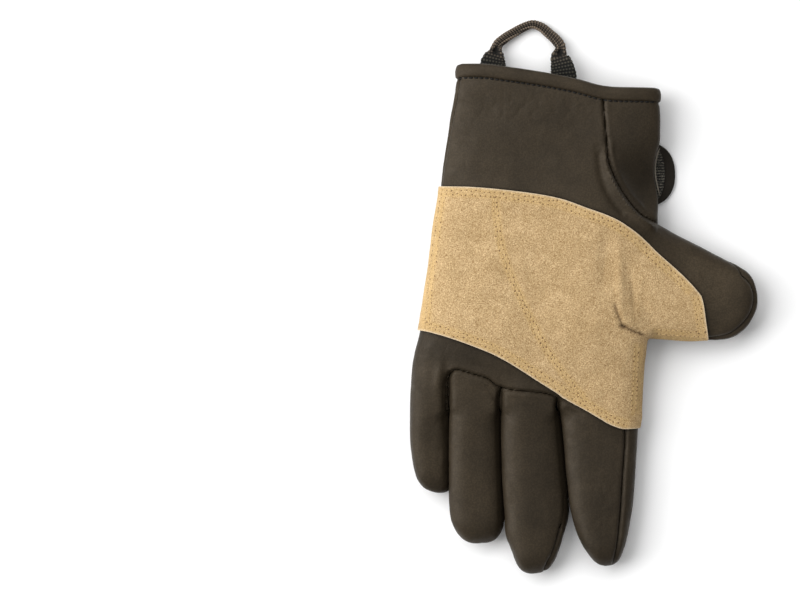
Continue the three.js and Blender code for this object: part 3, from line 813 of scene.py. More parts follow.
# Painted shadow on the leather along the patch's edge, and lighter and darker places: middle in pixels, half
# sizes in millimetres, turn and change. These places are partly colour that differs across the hide and
# partly painted light and shade.
PATCH_EDGE_PAINTED_SHADOW = 0.6
TONES_AND_PAINTED_LIGHT = [
    # Painted light: the thumb lighter, most on its upper side, which faces the lamp from above
    (722, 285, 26.0, 20.0, 0, 0.30),
    (700, 262, 14.0, 7.0, 28, 0.34),
    (540, 130, 42.0, 20.0, 0, -0.10),
    (635, 122, 11.0, 12.0, 0, -0.20),
    # Painted shade in the hollow beside the thumb's seam
    (640, 182, 9.5, 14.0, -16, -0.50),
    (540, 485, 11.0, 42.0, 0, -0.26),
    (602, 500, 13.0, 42.0, 0, -0.24),
    # Painted shade on the palm below the patch's edge
    (455, 350, 22.0, 8.0, 12, -0.42),
    (560, 375, 22.0, 9.0, 24, -0.10),
]
# The hollow right of the thumb's seam: middle in pixels, half sizes in millimetres and turn; how
# much of the height above its floor goes, and that floor's height
HOLLOW = ((664, 183), (15.5, 15.5), -8)
HOLLOW_SHARE, HOLLOW_FLOOR = 0.88, 9.0
# Valleys between fingers above their fork: photograph rows where each starts, how deep its slit is
# at the fork, and how far its shoulders sink
VALLEYS = [(370, 9.0, 1.3), (387, 8.0, 0.9), (397, 8.0, 1.1)]
# Uneven leather and suede: size in millimetres, seed and depth of each noise
BROAD_FOLDS = [(26.0, 1, 0.45), (11.0, 2, 0.16)]
SUEDE_FOLDS = [(5.0, 31, 0.12), (1.8, 32, 0.05)]
WRINKLE_DEPTH, GRAIN_DEPTH = 0.17, 0.06
# Half widths of a valley's slit and of its shoulders, millimetres
SLIT_HALF, SHOULDER_HALF = 1.25, 3.6
# Where seams lie inside the slits between fingers: columns from the line and first row, in pixels
IN_SLIT_COLUMNS, IN_SLIT_ROW = 9, 412
# Narrower groove at the thumb's seam: reach and share of the width
THUMB_SEAM_REACH, THUMB_SEAM_SHARE = 3.0, 0.75
# Leather beside a seam and along the hem's stitches: depth, distance and half width, millimetres
SEAM_RIDGE = (-0.10, 2.1, 1.1)
HEM_GROOVE = (0.4, 5.2, 0.9)
# Where small wrinkles are stronger, in pixels: middle and half sizes
WRINKLES = [(578, 420, 17, 22), (600, 500, 14, 40), (520, 110, 60, 18), (700, 290, 30, 20),
            (440, 440, 12, 30)]


def oval(pixels, middle, half, turn=0.0):
    """A soft bump of height one over an oval whose half sizes are in millimetres."""
    offset = (pixels - np.asarray(middle)) * PIXEL
    turn = math.radians(turn)
    u = offset[:, 0] * math.cos(turn) + offset[:, 1] * math.sin(turn)
    v = -offset[:, 0] * math.sin(turn) + offset[:, 1] * math.cos(turn)
    return np.exp(-((u / half[0]) ** 2) - (v / half[1]) ** 2)


def ovals(pixels, table):
    """The sum of a table's soft bumps, each as high as its last column says."""
    return sum(high * oval(pixels, (x, y), (wide, long), turn) for x, y, wide, long, turn, high in table)


def hollow_sunk(verts):
    """Sinks the front beside the thumb's seam, down to the cuff's side."""
    sunk = verts.copy()
    share = HOLLOW_SHARE * oval(pixel_of(verts[:, :2]), *HOLLOW)
    sunk[:, 2] -= share * np.clip(verts[:, 2] - HOLLOW_FLOOR, 0, None)
    return sunk


def broad_relief(verts, normals):
    """Depth of folds, dents and valleys at each vertex, in millimetres along its normal."""
    plan = verts[:, :2]
    facing = unit(normals[:, 2] * 1.6)
    depth = ovals(pixel_of(plan), DENTS)
    for points, deep, half in CREASES:
        line = at(smooth_line(points))
        gap = line_distance(plan, line)
        from_end = np.min([np.linalg.norm(plan - end, axis=1) for end in line[[0, -1]]], axis=0)
        depth += deep * hump(gap, half) * np.clip(from_end / CREASE_FADE, 0.15, 1)
    broad = layered(verts, BROAD_FOLDS)
    return depth * facing + broad * (0.35 + 0.65 * facing) * unit(verts[:, 2] / 3)


def valleys_carved(verts):
    """Sinks the front between fingers, from each finger's seam down to the fork."""
    columns, row = pixel_of(verts[:, :2]).T
    front = unit((verts[:, 2] - FRONT_FROM) / 4)
    carved = verts.copy()
    for (start, deep, broad), line in zip(VALLEYS, finger_columns(row)[1:4]):
        gap = np.abs(columns - line) * PIXEL
        run = unit((row - start) / (CROTCH_ROW - 4 - start))
        fade = unit((CROTCH_ROW + 10 - row) / 10)
        slit = deep * run**0.6 * hump(gap, SLIT_HALF)
        shoulder = broad * np.minimum(1, run * 2.5) * hump(gap, SHOULDER_HALF)
        carved[:, 2] -= (slit + shoulder) * fade * front
    return carved


def fingers_overlapped(verts):
    """Leans the slits between fingers so that each finger lies a little over the one before it."""
    columns, row = pixel_of(verts[:, :2]).T
    leaned = verts.copy()
    for number, line in enumerate(finger_columns(row)[1:4], start=1):
        near = hump((columns - line) * PIXEL, OVERLAP_REACH) * closing_weight(number, row)
        lean = np.clip((verts[:, 2] - LEAN_MIDDLE) / LEAN_HALF, -1, 1)
        leaned[:, 0] -= FINGER_OVERLAP * lean * near
    return leaned


def fine_relief(verts):
    """Small wrinkles of soft leather, stronger where it bends."""
    pixels = pixel_of(verts[:, :2])
    strength = 0.35 + 0.9 * sum(
        oval(pixels, (x, y), (wide * PIXEL, long * PIXEL)) for x, y, wide, long in WRINKLES
    )
    warped = verts + 1.6 * np.stack([lattice_noise(verts, 6.0, seed) for seed in (11, 12, 13)], axis=1)
    fold = 1 - np.abs(lattice_noise(warped * np.array([1.0, 0.62, 1.0]), 3.4, 14))
    return strength * (WRINKLE_DEPTH * fold**3 + GRAIN_DEPTH * lattice_noise(verts, 2.1, 15))


def leather_surface():
    """The whole outer surface with its relief, its normals and the distance to the nearest seam."""
    verts, tris = joined_form()
    verts = blended(verts, tris)
    verts = fingers_closed(valleys_carved(hollow_sunk(verts)))
    verts = slits_evened(verts, tris)
    normals = normals_of(verts, tris)
    verts = verts - normals * broad_relief(verts, normals)[:, None]
    verts[:, 2] = np.maximum(verts[:, 2], 0.0)
    verts = smoothed(verts, tris, 2)
    normals = normals_of(verts, tris)
    return verts, tris, normals


def seam_gap(fields, strips):
    """Distance to the nearest seam of the strips between fingers, or of the other panels."""
    chosen = [field for name, field in fields.items() if ("fourchette" in name) == strips]
    return np.min(np.abs(chosen), axis=0)


def beside_line(gap, depth, distance, half):
    """Depth of a ridge or groove that runs beside a line."""
    return depth * hump(gap - distance, half)


def panel_surface(verts, tris, normals):
    """The surface again with the valleys that its seams pull into it."""
    fields = seam_fields(verts)
    gap = seam_gap(fields, False)
    columns, row = pixel_of(verts[:, :2]).T
    in_slit = (off_finger_lines(columns, row) < IN_SLIT_COLUMNS) & (row > IN_SLIT_ROW)
    at_thumb = line_distance(verts[:, :2], at(smooth_line(WRIST_SEAM))) < THUMB_SEAM_REACH
    wide = SEAM_WIDTH * np.where(at_thumb, THUMB_SEAM_SHARE, 1.0)
    groove = np.where(in_slit, STRIP_SEAM_DEPTH, SEAM_DEPTH) * hump(gap, wide)
    groove = np.maximum(groove, STRIP_SEAM_DEPTH * hump(seam_gap(fields, True), SEAM_WIDTH))
    depth = groove * np.clip(normals[:, 2] * 1.5 + 0.25, 0.25, 1) + beside_line(gap, *SEAM_RIDGE)
    depth += beside_line(hem_distance(verts), *HEM_GROOVE) + fine_relief(verts)
    moved = verts - normals * (depth * unit(verts[:, 2] / 1.5 + 0.15))[:, None]
    moved = fingers_overlapped(moved)
    moved[:, 2] = np.maximum(moved[:, 2], 0.0)
    return moved, normals_of(moved, tris), fields


def hem_distance(verts):
    """How far below the cuff's edge a vertex lies."""
    pixels = pixel_of(verts[:, :2])
    return (pixels[:, 1] - read_off(HEM_ROWS, pixels[:, 0])) * PIXEL


def finished(name, mesh, nodes, material, attributes=None, sharp=None):
    """A piece of the glove from a mesh: shaded, riding on the glove and standing for its nodes."""
    mesh.polygons.foreach_set("use_smooth", np.ones(len(mesh.polygons), bool))
    if sharp:
        mesh.set_sharp_from_angle(angle=math.radians(sharp))
    for key, values in (attributes or {}).items():
        layer = mesh.attributes.new(key, "FLOAT", "POINT")
        layer.data.foreach_set("value", values.ravel().astype(np.float32))
    mesh.materials.append(material)
    piece = shown(name, mesh)
    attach(piece, "root")
    if nodes:
        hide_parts(*nodes)


def tone_and_painted_light(verts):
    """How much lighter or darker the leather is painted: colour that differs across the hide, painted light
    and shade, and a painted shadow along the patch's edge.
    """
    outside = -inside_distance(verts[:, :2], patch_outline())
    # The table's places, less a painted shadow just outside the patch's edge
    return ovals(pixel_of(verts[:, :2]), TONES_AND_PAINTED_LIGHT) - PATCH_EDGE_PAINTED_SHADOW * hump(outside - 0.45, 0.6)


def leather_panels(surface, material):
    """Every leather panel: its part of the surface, cut at its seams and given its thickness."""
    verts, tris, normals = surface
    moved, moved_normals, fields = panel_surface(verts, tris, normals)
    below_hem = hem_distance(moved) - HEM_EDGE
    values = np.concatenate([moved, moved_normals], axis=1)
    for name, field in fields.items():
        cut, cut_tris = largest(*clip(values, tris, np.minimum(field - SEAM_GAP, below_hem)))
        sheet, sheet_tris = thickened(cut[:, :3], cut[:, 3:6], cut_tris, LEATHER)
        sheet[:, 2] = np.maximum(sheet[:, 2], 0.0)
        mesh = fast_mesh(name, sheet, sheet_tris)
        # The leather's lighter and darker places: colour across the hide, and painted light and shade
        finished(name, mesh, [name], material, {"tone_with_painted_light": tone_and_painted_light(sheet)}, SHEET_SHARP)
    return surface_tree(moved, tris)


# The suede patch

# Its outline in pixels: upper edge and cap, far corners under the hand, and lower edge
PATCH_TOP = [
    (436, 187.2), (439.5, 187.5), (464, 188), (490, 189.8), (515, 192.5), (543, 196.5), (560, 200.2),
    (583.5, 208.5), (612, 219.5), (634, 234), (655, 254), (678, 274), (691, 287), (698.6, 296),
    (700.8, 304), (703.4, 320), (706.4, 336), (708, 345),
]
PATCH_FAR = [(700, 352), (648, 352), (660, 420)]
PATCH_END = [
    (642.5, 419), (640.5, 424), (635, 427.4), (623, 428), (611, 424.6), (596, 416.2), (575, 403.8),
    (556, 392.2), (540, 382.2), (527.5, 374.2), (514, 365.5), (502, 358.5), (490, 352.5), (476.5, 347),
    (458, 340.2), (438, 334), (424, 330.8), (412, 329.8),
]
# Painted shade in the pit at the fork under the thumb: middle in pixels, half sizes in millimetres and turn
FORK_PIT_PAINTED_SHADE = ((621.4, 326.2), (1.6, 0.9), 24)
# How dark the painted shade in the creases above and below the pit is, and the creases' half width
FORK_CREASE_PAINTED_SHADE, FORK_CREASE_HALF = (0.45, 0.80), 0.50
# Stitched suede, millimetres: how deep it is pulled in, half widths of that and of its pale shade, how
# far the raw edge's pale shade reaches, and how far above the side's seam the patch ends
STITCH_PULL, STITCH_HALF, STITCH_SHADE = 0.16, 0.9, 1.1
RAW_EDGE, PATCH_LOWEST = 0.3, 0.4
# Column from which the side's height is the thumb's
THUMB_SIDE_FROM = 580
# Lines that the stitches follow, in pixels
PATCH_LEFT = [(438.5, 196), (432.5, 236), (426.5, 282), (423, 324)]
PATCH_RIGHT = [(640, 345), (638.5, 380), (637, 412)]
PATCH_THUMB = [(652, 334), (680, 336.5), (703, 338)]
PATCH_INNER = [(494, 196), (495, 210), (496.6, 226), (500, 246), (506.5, 268), (518, 295), (530, 321),
               (543, 345), (560, 370), (584, 400)]
PATCH_SIDES = (PATCH_TOP[1:13], PATCH_TOP[13:17], PATCH_END[3:17])
# Rows of stitches: the line that each follows and how far it lies to the line's left, millimetres
STITCH_ROWS = [(side, inset) for inset in (-1.6, -3.9) for side in PATCH_SIDES]
STITCH_ROWS += [(PATCH_LEFT, 0.8), (PATCH_LEFT, 3.0), (PATCH_RIGHT, -1.2), (PATCH_RIGHT, -3.4)]
STITCH_ROWS += [(PATCH_THUMB, 0.2), (PATCH_THUMB, 2.4), (PATCH_INNER, 0.9), (PATCH_INNER, -0.9)]


def patch_outline():
    """Outline of the suede patch, in millimetres."""
    top, cap = smooth_line(PATCH_TOP[:14], 2), smooth_line(PATCH_TOP[13:], 2)
    return outline_of(top, cap, PATCH_FAR, smooth_line(PATCH_END, 2))


def rows_of_stitches():
    """The stitched lines of the patch, in millimetres."""
    return [shifted(at(smooth_line(points, 3)), inset) for points, inset in STITCH_ROWS]


def shifted(line, distance):
    """A line moved sideways, to its left where distance is above zero."""
    return line - distance * right_of(line)


def painted_fork_shade(plan):
    """Painted shade on the suede in the pit and the creases at the fork under the thumb: how dark it is
    painted.
    """
    fork_painted_shade = oval(pixel_of(plan), *FORK_PIT_PAINTED_SHADE)
    for line, share in zip(FORK_CREASES, FORK_CREASE_PAINTED_SHADE):
        gap = line_distance(plan, at(smooth_line(line)))
        fork_painted_shade = np.maximum(fork_painted_shade, share * hump(gap, FORK_CREASE_HALF))
    return fork_painted_shade


def palm_patch(surface, material):
    """The suede patch: the glove's surface inside its outline, raised by its own thickness."""
    verts, tris, normals = surface
    plan = verts[:, :2]
    near = np.min([line_distance(plan, row) for row in rows_of_stitches()], axis=0)
    soft = layered(verts, SUEDE_FOLDS) - STITCH_PULL * hump(near, STITCH_HALF)
    above = verts + normals * (PATCH_GAP + SUEDE + soft)[:, None]
    inside = inside_distance(plan, patch_outline())
    pixels = pixel_of(plan)
    little, thumb = side_heights(pixels)
    height = verts[:, 2] - np.where(pixels[:, 0] > THUMB_SIDE_FROM, thumb, little)
    values = np.concatenate([above, normals, inside[:, None], near[:, None]], axis=1)
    cut, cut_tris = largest(*clip(values, tris, np.minimum(inside, height - PATCH_LOWEST)))
    sheet, sheet_tris = thickened(cut[:, :3], cut[:, 3:6], cut_tris, SUEDE)
    looks = {
        "edge": np.exp(-np.clip(cut[:, 6], 0, None) / RAW_EDGE),
        "stitch": hump(cut[:, 7], STITCH_SHADE),
        # Painted shade in the pit and the creases at the fork
        "fork_painted_shade": painted_fork_shade(cut[:, :2]),
    }
    looks = {key: np.tile(values, 2) for key, values in looks.items()}
    mesh = fast_mesh("palm_patch", sheet, sheet_tris)
    finished("palm_patch", mesh, ["palm_patch"], material, looks, SHEET_SHARP)
    return surface_tree(cut[:, :3], cut_tris)


# Threads: pitch of the patch's stitches, how finely one is divided, and radius, rise and the share
# of the pitch that shows as a gap

STITCH_PITCH = 2.3
STITCH_STEPS, STITCH_SIDES = 7, 7
PATCH_STITCH = (0.22, 0.2, 0.34)
HEM_STITCH = (0.46, 0.40, 0.14)
SHORTEST_STITCH, LONGEST_STITCH = 0.2, 2.2 * STITCH_PITCH
PLACE_SCATTER = 0.30
# Dark domes at the stitches' ends, painted shade of the needle holes: radius range and height
HOLE_RADIUS, HOLE_HEIGHT = (0.22, 0.46), 0.09


def surface_tree(verts, tris):
    """A surface that rays can be cast at."""
    return BVHTree.FromPolygons([Vector(v) for v in verts.tolist()], tris.tolist())


def dropped(tree, plan, upward=False):
    """Places and normals where plan points meet a surface from above, or from below if upward."""
    start, way = (-50.0, 1.0) if upward else (80.0, -1.0)
    found = []
    for x, y in plan:
        place, normal, _, _ = tree.ray_cast(Vector((x, y, start)), Vector((0, 0, way)))
        if place is not None:
            found.append((np.array(place), np.array(normal)))
    return found


def stitch(start, end, normal, radius, rise):
    """One stitch: a short arched thread whose ends go into the leather."""
    t = np.linspace(0, 1, STITCH_STEPS)
    lift = (np.sin(math.pi * t) ** 0.6 * rise - radius * 0.7)[:, None]
    centre = start + (end - start) * t[:, None] + normal * lift
    side = np.cross(end - start, normal) / np.linalg.norm(end - start)
    side /= np.linalg.norm(side)
    thick = radius * (0.55 + 0.45 * np.sin(math.pi * t) ** 0.5)[:, None, None]
    return loft(centre[:, None, :] + thick * spun(side, normal, STITCH_SIDES)[None, :, :])


def spun(side, up, count):
    """Vectors round a circle through two that stand square to each other."""
    angle = turns(count)[:, None]
    return side * np.cos(angle) + up * np.sin(angle)


def stitched_row(found, radius, rise, gap_share):
    """Stitches between neighbouring places of a row."""
    parts = []
    for (a, normal_a), (b, normal_b) in zip(found[:-1], found[1:]):
        length = np.linalg.norm(b - a)
        if not SHORTEST_STITCH <= length <= LONGEST_STITCH:
            continue
        normal = normal_a + normal_b
        normal /= np.linalg.norm(normal)
        inset = (b - a) * gap_share / 2
        parts.append(stitch(a + inset, b - inset, normal, radius, rise))
    return parts


def spaced(line, pitch):
    """Places along a line at an even pitch, in millimetres."""
    lengths = lengths_along(line)
    where = np.arange(pitch / 2, lengths[-1], pitch)
    return zipped(*[np.interp(where, lengths, column) for column in line.T])


def thread_piece(name, parts, material):
    """Many small parts as one piece that stands for no node."""
    finished(name, mesh_of(name, *joined(parts)), [], material)


def patch_threads(tree, thread, hole_shade):
    """The patch's double rows of thread, and dark domes at their ends as painted shade of the needle holes.
    """
    rng = np.random.default_rng(SEED)
    threads, holes = [], []
    for row in rows_of_stitches():
        places = spaced(row, STITCH_PITCH)
        places = places + rng.normal(0, PLACE_SCATTER, places.shape)
        found = dropped(tree, places)
        threads += stitched_row(found, *PATCH_STITCH)
        for place, normal in found:
            holes.append(bead(place + normal * 0.02, normal, rng.uniform(*HOLE_RADIUS), HOLE_HEIGHT))
    thread_piece("patch_thread", threads, thread)
    thread_piece("patch_needle_hole_shades", holes, hole_shade)


def bead(place, normal, radius, height):
    """A small low dome."""
    helper = np.array([1.0, 0, 0]) if abs(normal[0]) < 0.8 else np.array([0, 1.0, 0])
    u = np.cross(normal, helper)
    u /= np.linalg.norm(u)
    ring = spun(u, np.cross(normal, u), STITCH_SIDES)
    levels = ((-height, 0.8), (0.0, 1.0), (height, 0.55))
    return loft([place + normal * z + ring * radius * wide for z, wide in levels])


# Cuff edge

# Profile of half the binding and of the slot in it: distance below the cuff's edge and height off
# the leather, millimetres
BINDING_PROFILE = [(4.55, 0.08), (4.35, 0.62), (3.3, 1.28), (1.4, 1.62), (-0.4, 1.30), (-1.5, 0.55),
                   (-1.95, -0.55)]
BINDING_SLOT = [(4.3, 0.06), (0.3, 0.06), (0.3, -LEATHER - 0.06), (4.3, -LEATHER - 0.06)]
# The hem's stitches: distance below the edge and pitch
HEM_STITCH_AT = 4.95
HEM_STITCH_PITCH = 2.5
BINDING_STEPS = 560
# Share of its thickness left at the sides, and how uneven it is: share and size
BINDING_THIN, BINDING_ROLL = 0.62, 0.38
BINDING_WOBBLE, WOBBLE_SIZE = 0.07, 9.0
# How many neighbours its normals and places are averaged with
NORMAL_REACH, PLACE_REACH = 7, 2
# The cuff's mouth in pixels, and how often a place on it is sought anew
MOUTH_MIDDLE, MOUTH_HALF, MOUTH_ROUNDS = 555, 100, 12
# Columns between which the hem is stitched
HEM_SPAN = (455, 657)


def mouth_ring(depth, angles):
    """Places on the cuff's outside at a distance below its edge."""
    columns = MOUTH_MIDDLE + MOUTH_HALF * np.cos(angles)
    for _ in range(MOUTH_ROUNDS):
        rows = read_off(HEM_ROWS, columns) + depth / PIXEL
        left, right, front, rest = hand_section(rows)
        edge = (front + rest) / 2
        places = soft_skin(left, right, edge, front, rest, angles, HAND_ROLL, HAND_POWER)
        columns = pixel_of(places[:, :2])[:, 0]
    return places


def ring_mean(values, reach):
    """Values averaged with their neighbours round a ring."""
    total = sum(np.roll(values, k, axis=0) for k in range(-reach, reach + 1))
    return total / (2 * reach + 1)


def cuff_binding(material):
    """Leather folded round the cuff's edge: a profile carried round it."""
    angles = turns(BINDING_STEPS, 0.5)
    across = mouth_ring(0.0, np.roll(angles, -1)) - mouth_ring(0.0, np.roll(angles, 1))
    down = mouth_ring(1.0, angles) - mouth_ring(-1.0, angles)
    normal = unit_rows(ring_mean(np.cross(across, down), NORMAL_REACH))
    outside = smooth_line(BINDING_PROFILE, 0.35)
    inside = outside[::-1][1:] * np.array([1, -1]) - np.array([0, LEATHER])
    side_share = BINDING_THIN + BINDING_ROLL * np.abs(np.sin(angles)) ** 0.5
    rings = []
    for depth, offset in np.concatenate([outside, inside, BINDING_SLOT[::-1]]):
        place = ring_mean(mouth_ring(depth, angles), PLACE_REACH)
        thick = offset * (side_share if offset > 0 else 1.0)
        if abs(offset) > 0.2:
            thick = thick * (1 + BINDING_WOBBLE * lattice_noise(place, WOBBLE_SIZE, 51))
        rings.append(place + normal * np.reshape(thick, (-1, 1)))
    a = np.arange(len(rings) * BINDING_STEPS).reshape(-1, BINDING_STEPS)
    b = np.roll(a, -1, axis=0)
    quads = np.stack([a, np.roll(a, -1, axis=1), np.roll(b, -1, axis=1), b], axis=-1).reshape(-1, 4)
    tris = np.concatenate([quads[:, [0, 1, 2]], quads[:, [0, 2, 3]]])
    verts = np.concatenate(rings)
    verts[:, 2] = np.maximum(verts[:, 2], 0.1)
    mesh = fast_mesh("cuff_binding", verts, outward(verts, tris))
    finished("cuff_binding", mesh, ["cuff_binding"], material, sharp=55)


def hem_threads(tree, thread):
    """The row of stitches under the binding, in front and behind."""
    columns = np.linspace(*HEM_SPAN, 220)
    rows = read_off(HEM_ROWS, columns) + HEM_STITCH_AT / PIXEL
    line = spaced(at(zipped(columns, rows)), HEM_STITCH_PITCH)
    parts = []
    for upward in (False, True):
        parts += stitched_row(dropped(tree, line, upward), *HEM_STITCH)
    thread_piece("hem_thread", parts, thread)


# Hanging loop: middle of the tape in photograph pixels, its width in pixels and how far it is folded

LOOP_ROUTE = [
    (492.6, 88, 26.0, 0), (492.6, 72, 26.0, 0), (492.8, 64.5, 25.4, 0), (493.8, 58.9, 22.8, 0.1),
    (495.2, 54.0, 17.4, 0.4), (495.9, 50.0, 12.0, 0.75), (497.3, 45.6, 10.0, 1), (504.0, 39.2, 9.6, 1),
    (515.2, 32.0, 9.0, 1), (525.5, 26.6, 8.4, 1), (532.3, 24.6, 8.2, 1), (539.8, 26.8, 8.8, 1),
    (548.8, 33.7, 9.6, 1), (557.0, 41.8, 10.2, 1), (560.3, 48.0, 10.0, 1), (560.0, 51.5, 12.3, 0.75),
    (559.0, 56.5, 17.2, 0.35), (560.4, 62.0, 21.0, 0.1), (562.0, 69.0, 23.8, 0), (563.0, 77.0, 25.6, 0),
    (563.4, 96, 26.0, 0),
]
# Millimetres: thickness flat and folded, height in the cuff and at the arch, with the row from which
# it changes and over how many
TAPE_THICK, TAPE_FOLDED = 1.7, 4.0
TUCK_HEIGHT, ARCH_HEIGHT = 9.4, 2.2
TUCK_ROW, ARCH_ROWS = 78, 48
# Weave of the flat tape and of the folded grip, the pinch where it is folded and the grip's seam
RIB_PITCH, BEAD_PITCH = 1.55, 1.5
RIB_HEIGHT, BEAD_HEIGHT, WEAVE_HEIGHT = 0.12, 0.44, 0.56
PINCH_DEPTH, GRIP_SEAM_DEPTH = 1.5, 0.5
TWILL_DEPTH, TWILL_PITCHES = 0.32, (2.7, 2.3)
TAPE_STEP = 0.17
TAPE_SIDES = 120


def loop_route():
    """Middle of the tape at even steps, vectors to its side, its width, fold and length so far."""
    table = np.array(LOOP_ROUTE, float)
    lengths = lengths_along(table[:, :2])
    where = np.linspace(0, lengths[-1], int(lengths[-1] * PIXEL / TAPE_STEP))
    place = columns_at(table, lengths, where)
    for _ in range(6):
        place[1:-1, :2] = (place[:-2, :2] + 2 * place[1:-1, :2] + place[2:, :2]) / 4
    plan = at(place[:, :2])
    rise = eased(unit((TUCK_ROW - place[:, 1]) / ARCH_ROWS))
    centre = raised(plan, TUCK_HEIGHT + (ARCH_HEIGHT - TUCK_HEIGHT) * rise)
    return centre, raised(right_of(plan), 0.0), place[:, 2] * PIXEL, place[:, 3], where * PIXEL


def weave(u, v, wide, thick, fold, along):
    """How far the tape's weave swells it, and how much painted highlight its crowns get, with painted shade
    in its grooves and pinch. u and v lead round its section.
    """
    across = u * wide / 2
    flat = 1 - unit((fold - 0.62) / 0.3)
    ribs = np.abs(np.cos(math.pi * along / RIB_PITCH)) ** 0.8
    odd = np.round(along / RIB_PITCH) % 2
    beads = np.abs(np.cos(math.pi * (across / BEAD_PITCH + 0.25 * odd))) ** 0.7
    woven = RIB_HEIGHT * ribs + BEAD_HEIGHT * ribs * beads
    turn = across * 1.3 + v * thick * 0.5
    twill = TWILL_DEPTH * np.sin(2 * math.pi * (along + turn) / TWILL_PITCHES[0])
    twill = twill * np.sin(2 * math.pi * (along - turn) / TWILL_PITCHES[1])
    pinch = PINCH_DEPTH * hump(fold - 0.66, 0.3) * hump(u, 0.42) * (v > 0)
    seam = GRIP_SEAM_DEPTH * (fold > 0.9) * hump(u - 0.35, 0.16) * (v > 0)
    swell = flat * (woven - 0.35) + (1 - flat) * twill - pinch - seam
    # Painted highlight on the crowns, and painted shade where the tape is pinched
    crown_painted_light = unit(flat * (woven / WEAVE_HEIGHT) + (1 - flat) * (0.5 + 2.4 * twill)) * (1 - unit(pinch))
    return swell, crown_painted_light


def hanging_loop(material):
    """Webbing sewn into the cuff, flat at its ends and folded lengthwise for the grip."""
    centre, side, *rest = loop_route()
    wide, fold, along = [part[:, None] for part in rest]
    thick = TAPE_THICK + (TAPE_FOLDED - TAPE_THICK) * fold
    power = 5.0 - 2.6 * fold
    angle = turns(TAPE_SIDES, 0.5)
    u = np.broadcast_to(np.cos(angle), (len(centre), TAPE_SIDES))
    v = np.sign(np.sin(angle)) * (1 - np.abs(u) ** power) ** (1 / power)
    swell, crown_painted_light = weave(u, v, wide, thick, fold, along)
    half = wide / 2 * u + u * np.clip(swell, -0.3, 0.4) * 0.7
    rings = centre[:, None, :] + side[:, None, :] * half[..., None]
    rings[..., 2] += v * thick / 2 + swung(v, 2) * swell
    verts, faces = loft(rings)
    verts[:, 2] = np.maximum(verts[:, 2], 0.05)
    looks = {"crown_painted_light": crown_painted_light, "folded": np.broadcast_to(unit(fold), crown_painted_light.shape)}
    mesh = mesh_of("hanging_loop", verts, faces)
    finished("hanging_loop", mesh, ["hanging_loop"], material, looks)


# Closure strap behind the wrist, and the hook and loop pads that hold it

STRAP_MIDDLE_ROW = 174.4
STRAP_THICK = 2.0
PAD_WIDTH = 28.1
# Right end in pixels, then millimetres: length, width, height of the underside, thickness, rise of
# the left end and length of the rounded end; points across and step along, as fine as the relief
BANDS = {
    "closure_strap": (675.0, 84.0, 30.5, 0.0, STRAP_THICK, 3.0, 13.5, 60, 0.6),
    "strap_hook_pad": (664.6, 30.0, PAD_WIDTH, STRAP_THICK + 0.1, 1.3, 0.0, 8.0, 132, 0.25),
    "wrist_loop_pad": (632, 27.0, PAD_WIDTH, STRAP_THICK + 1.9, 1.1, 0.0, 2.5, 80, 0.4),
}
# How square the rounded end is and its number of rows, radius of the long edges and pitch of hooks
STRAP_END_POWER, STRAP_END_ROWS = 2.25, 26
BAND_CORNER = 0.45
HOOK_PITCH, HOOK_SPACING = 1.3, 0.95
# The cord along the wrist's edge: its line in pixels, then millimetres
EDGE_CORD = [(659.6, 148), (657.0, 154), (655.0, 162), (654.5, 170), (655.0, 178), (656.8, 186.5),
             (659.0, 195)]
CORD_RADIUS, CORD_SIDES = 0.42, 9
CORD_HEIGHT, CORD_ARCH = 4.4, 1.2


def band(name, material, relief):
    """A flat band along X with a rounded right end; its left end may rise to where it is sewn on."""
    end, length, width, low, thick, rise, bulge, points, step = BANDS[name]
    right = at([end, 0])[0]
    middle = at([0, STRAP_MIDDLE_ROW])[1]
    straight = np.arange(right - length, right - bulge, step)
    share = np.sin(np.linspace(0, math.pi / 2, STRAP_END_ROWS))
    xs = np.concatenate([straight, right - bulge * (1 - share[:-1] * 0.999)])
    beyond = np.clip((xs - (right - bulge)) / bulge, 0, 0.9995)
    half = width / 2 * (1 - beyond**STRAP_END_POWER) ** (1 / STRAP_END_POWER)
    lift = rise * (1 - eased(unit(((xs - right) / length + 1 - 0.1) / 0.26)))
    rows = []
    for x, h, up in zip(xs, half, lift):
        off = np.linspace(-1, 1, points) * h
        place = np.full_like(off, x)
        drop = unit((np.abs(off) - (h - BAND_CORNER)) / BAND_CORNER)
        round_edge = BAND_CORNER * (1 - np.sqrt(1 - drop**2 * 0.98))
        end_drop = BAND_CORNER * unit(1 - (right - x) / 0.5)
        top = low + thick - round_edge - end_drop + up + relief(place, off) * (1 - drop)
        under = low + round_edge + end_drop * 0.6 + up
        rows += [zipped(place, middle + off, top), zipped(place, middle + off, under)[::-1]]
    verts, faces = loft(np.array(rows).reshape(len(xs), -1, 3))
    mesh = mesh_of(name, verts, faces)
    faces_outwards(mesh)
    finished(name, mesh, [name], material, sharp=60)


def faces_outwards(mesh):
    """Turns the faces of a mesh to look outwards."""
    work = bmesh.new()
    work.from_mesh(mesh)
    bmesh.ops.recalc_face_normals(work, faces=work.faces)
    work.to_mesh(mesh)
    work.free()


def flat_noise(x, y, *layers):
    """Layered noise over a flat band."""
    return layered(zipped(x, y, np.zeros_like(x)), layers)


def hook_relief(x, y):
    """Rows of hooks along the tape."""
    ridge = np.abs(np.cos(math.pi * y / HOOK_PITCH)) ** 1.5
    bump = 0.6 + 0.4 * np.cos(2 * math.pi * (x / HOOK_SPACING + 0.5 * np.round(y / HOOK_PITCH)))
    return 0.42 * ridge * bump - 0.2 + flat_noise(x, y, (0.8, 64, 0.16))


def fuzz_relief(x, y):
    """Fuzzy loops."""
    return flat_noise(x, y, (0.9, 61, 0.22), (0.45, 62, 0.12))


def strap_relief(x, y):
    """Slightly uneven leather."""
    return flat_noise(x, y, (5.0, 63, 0.06))


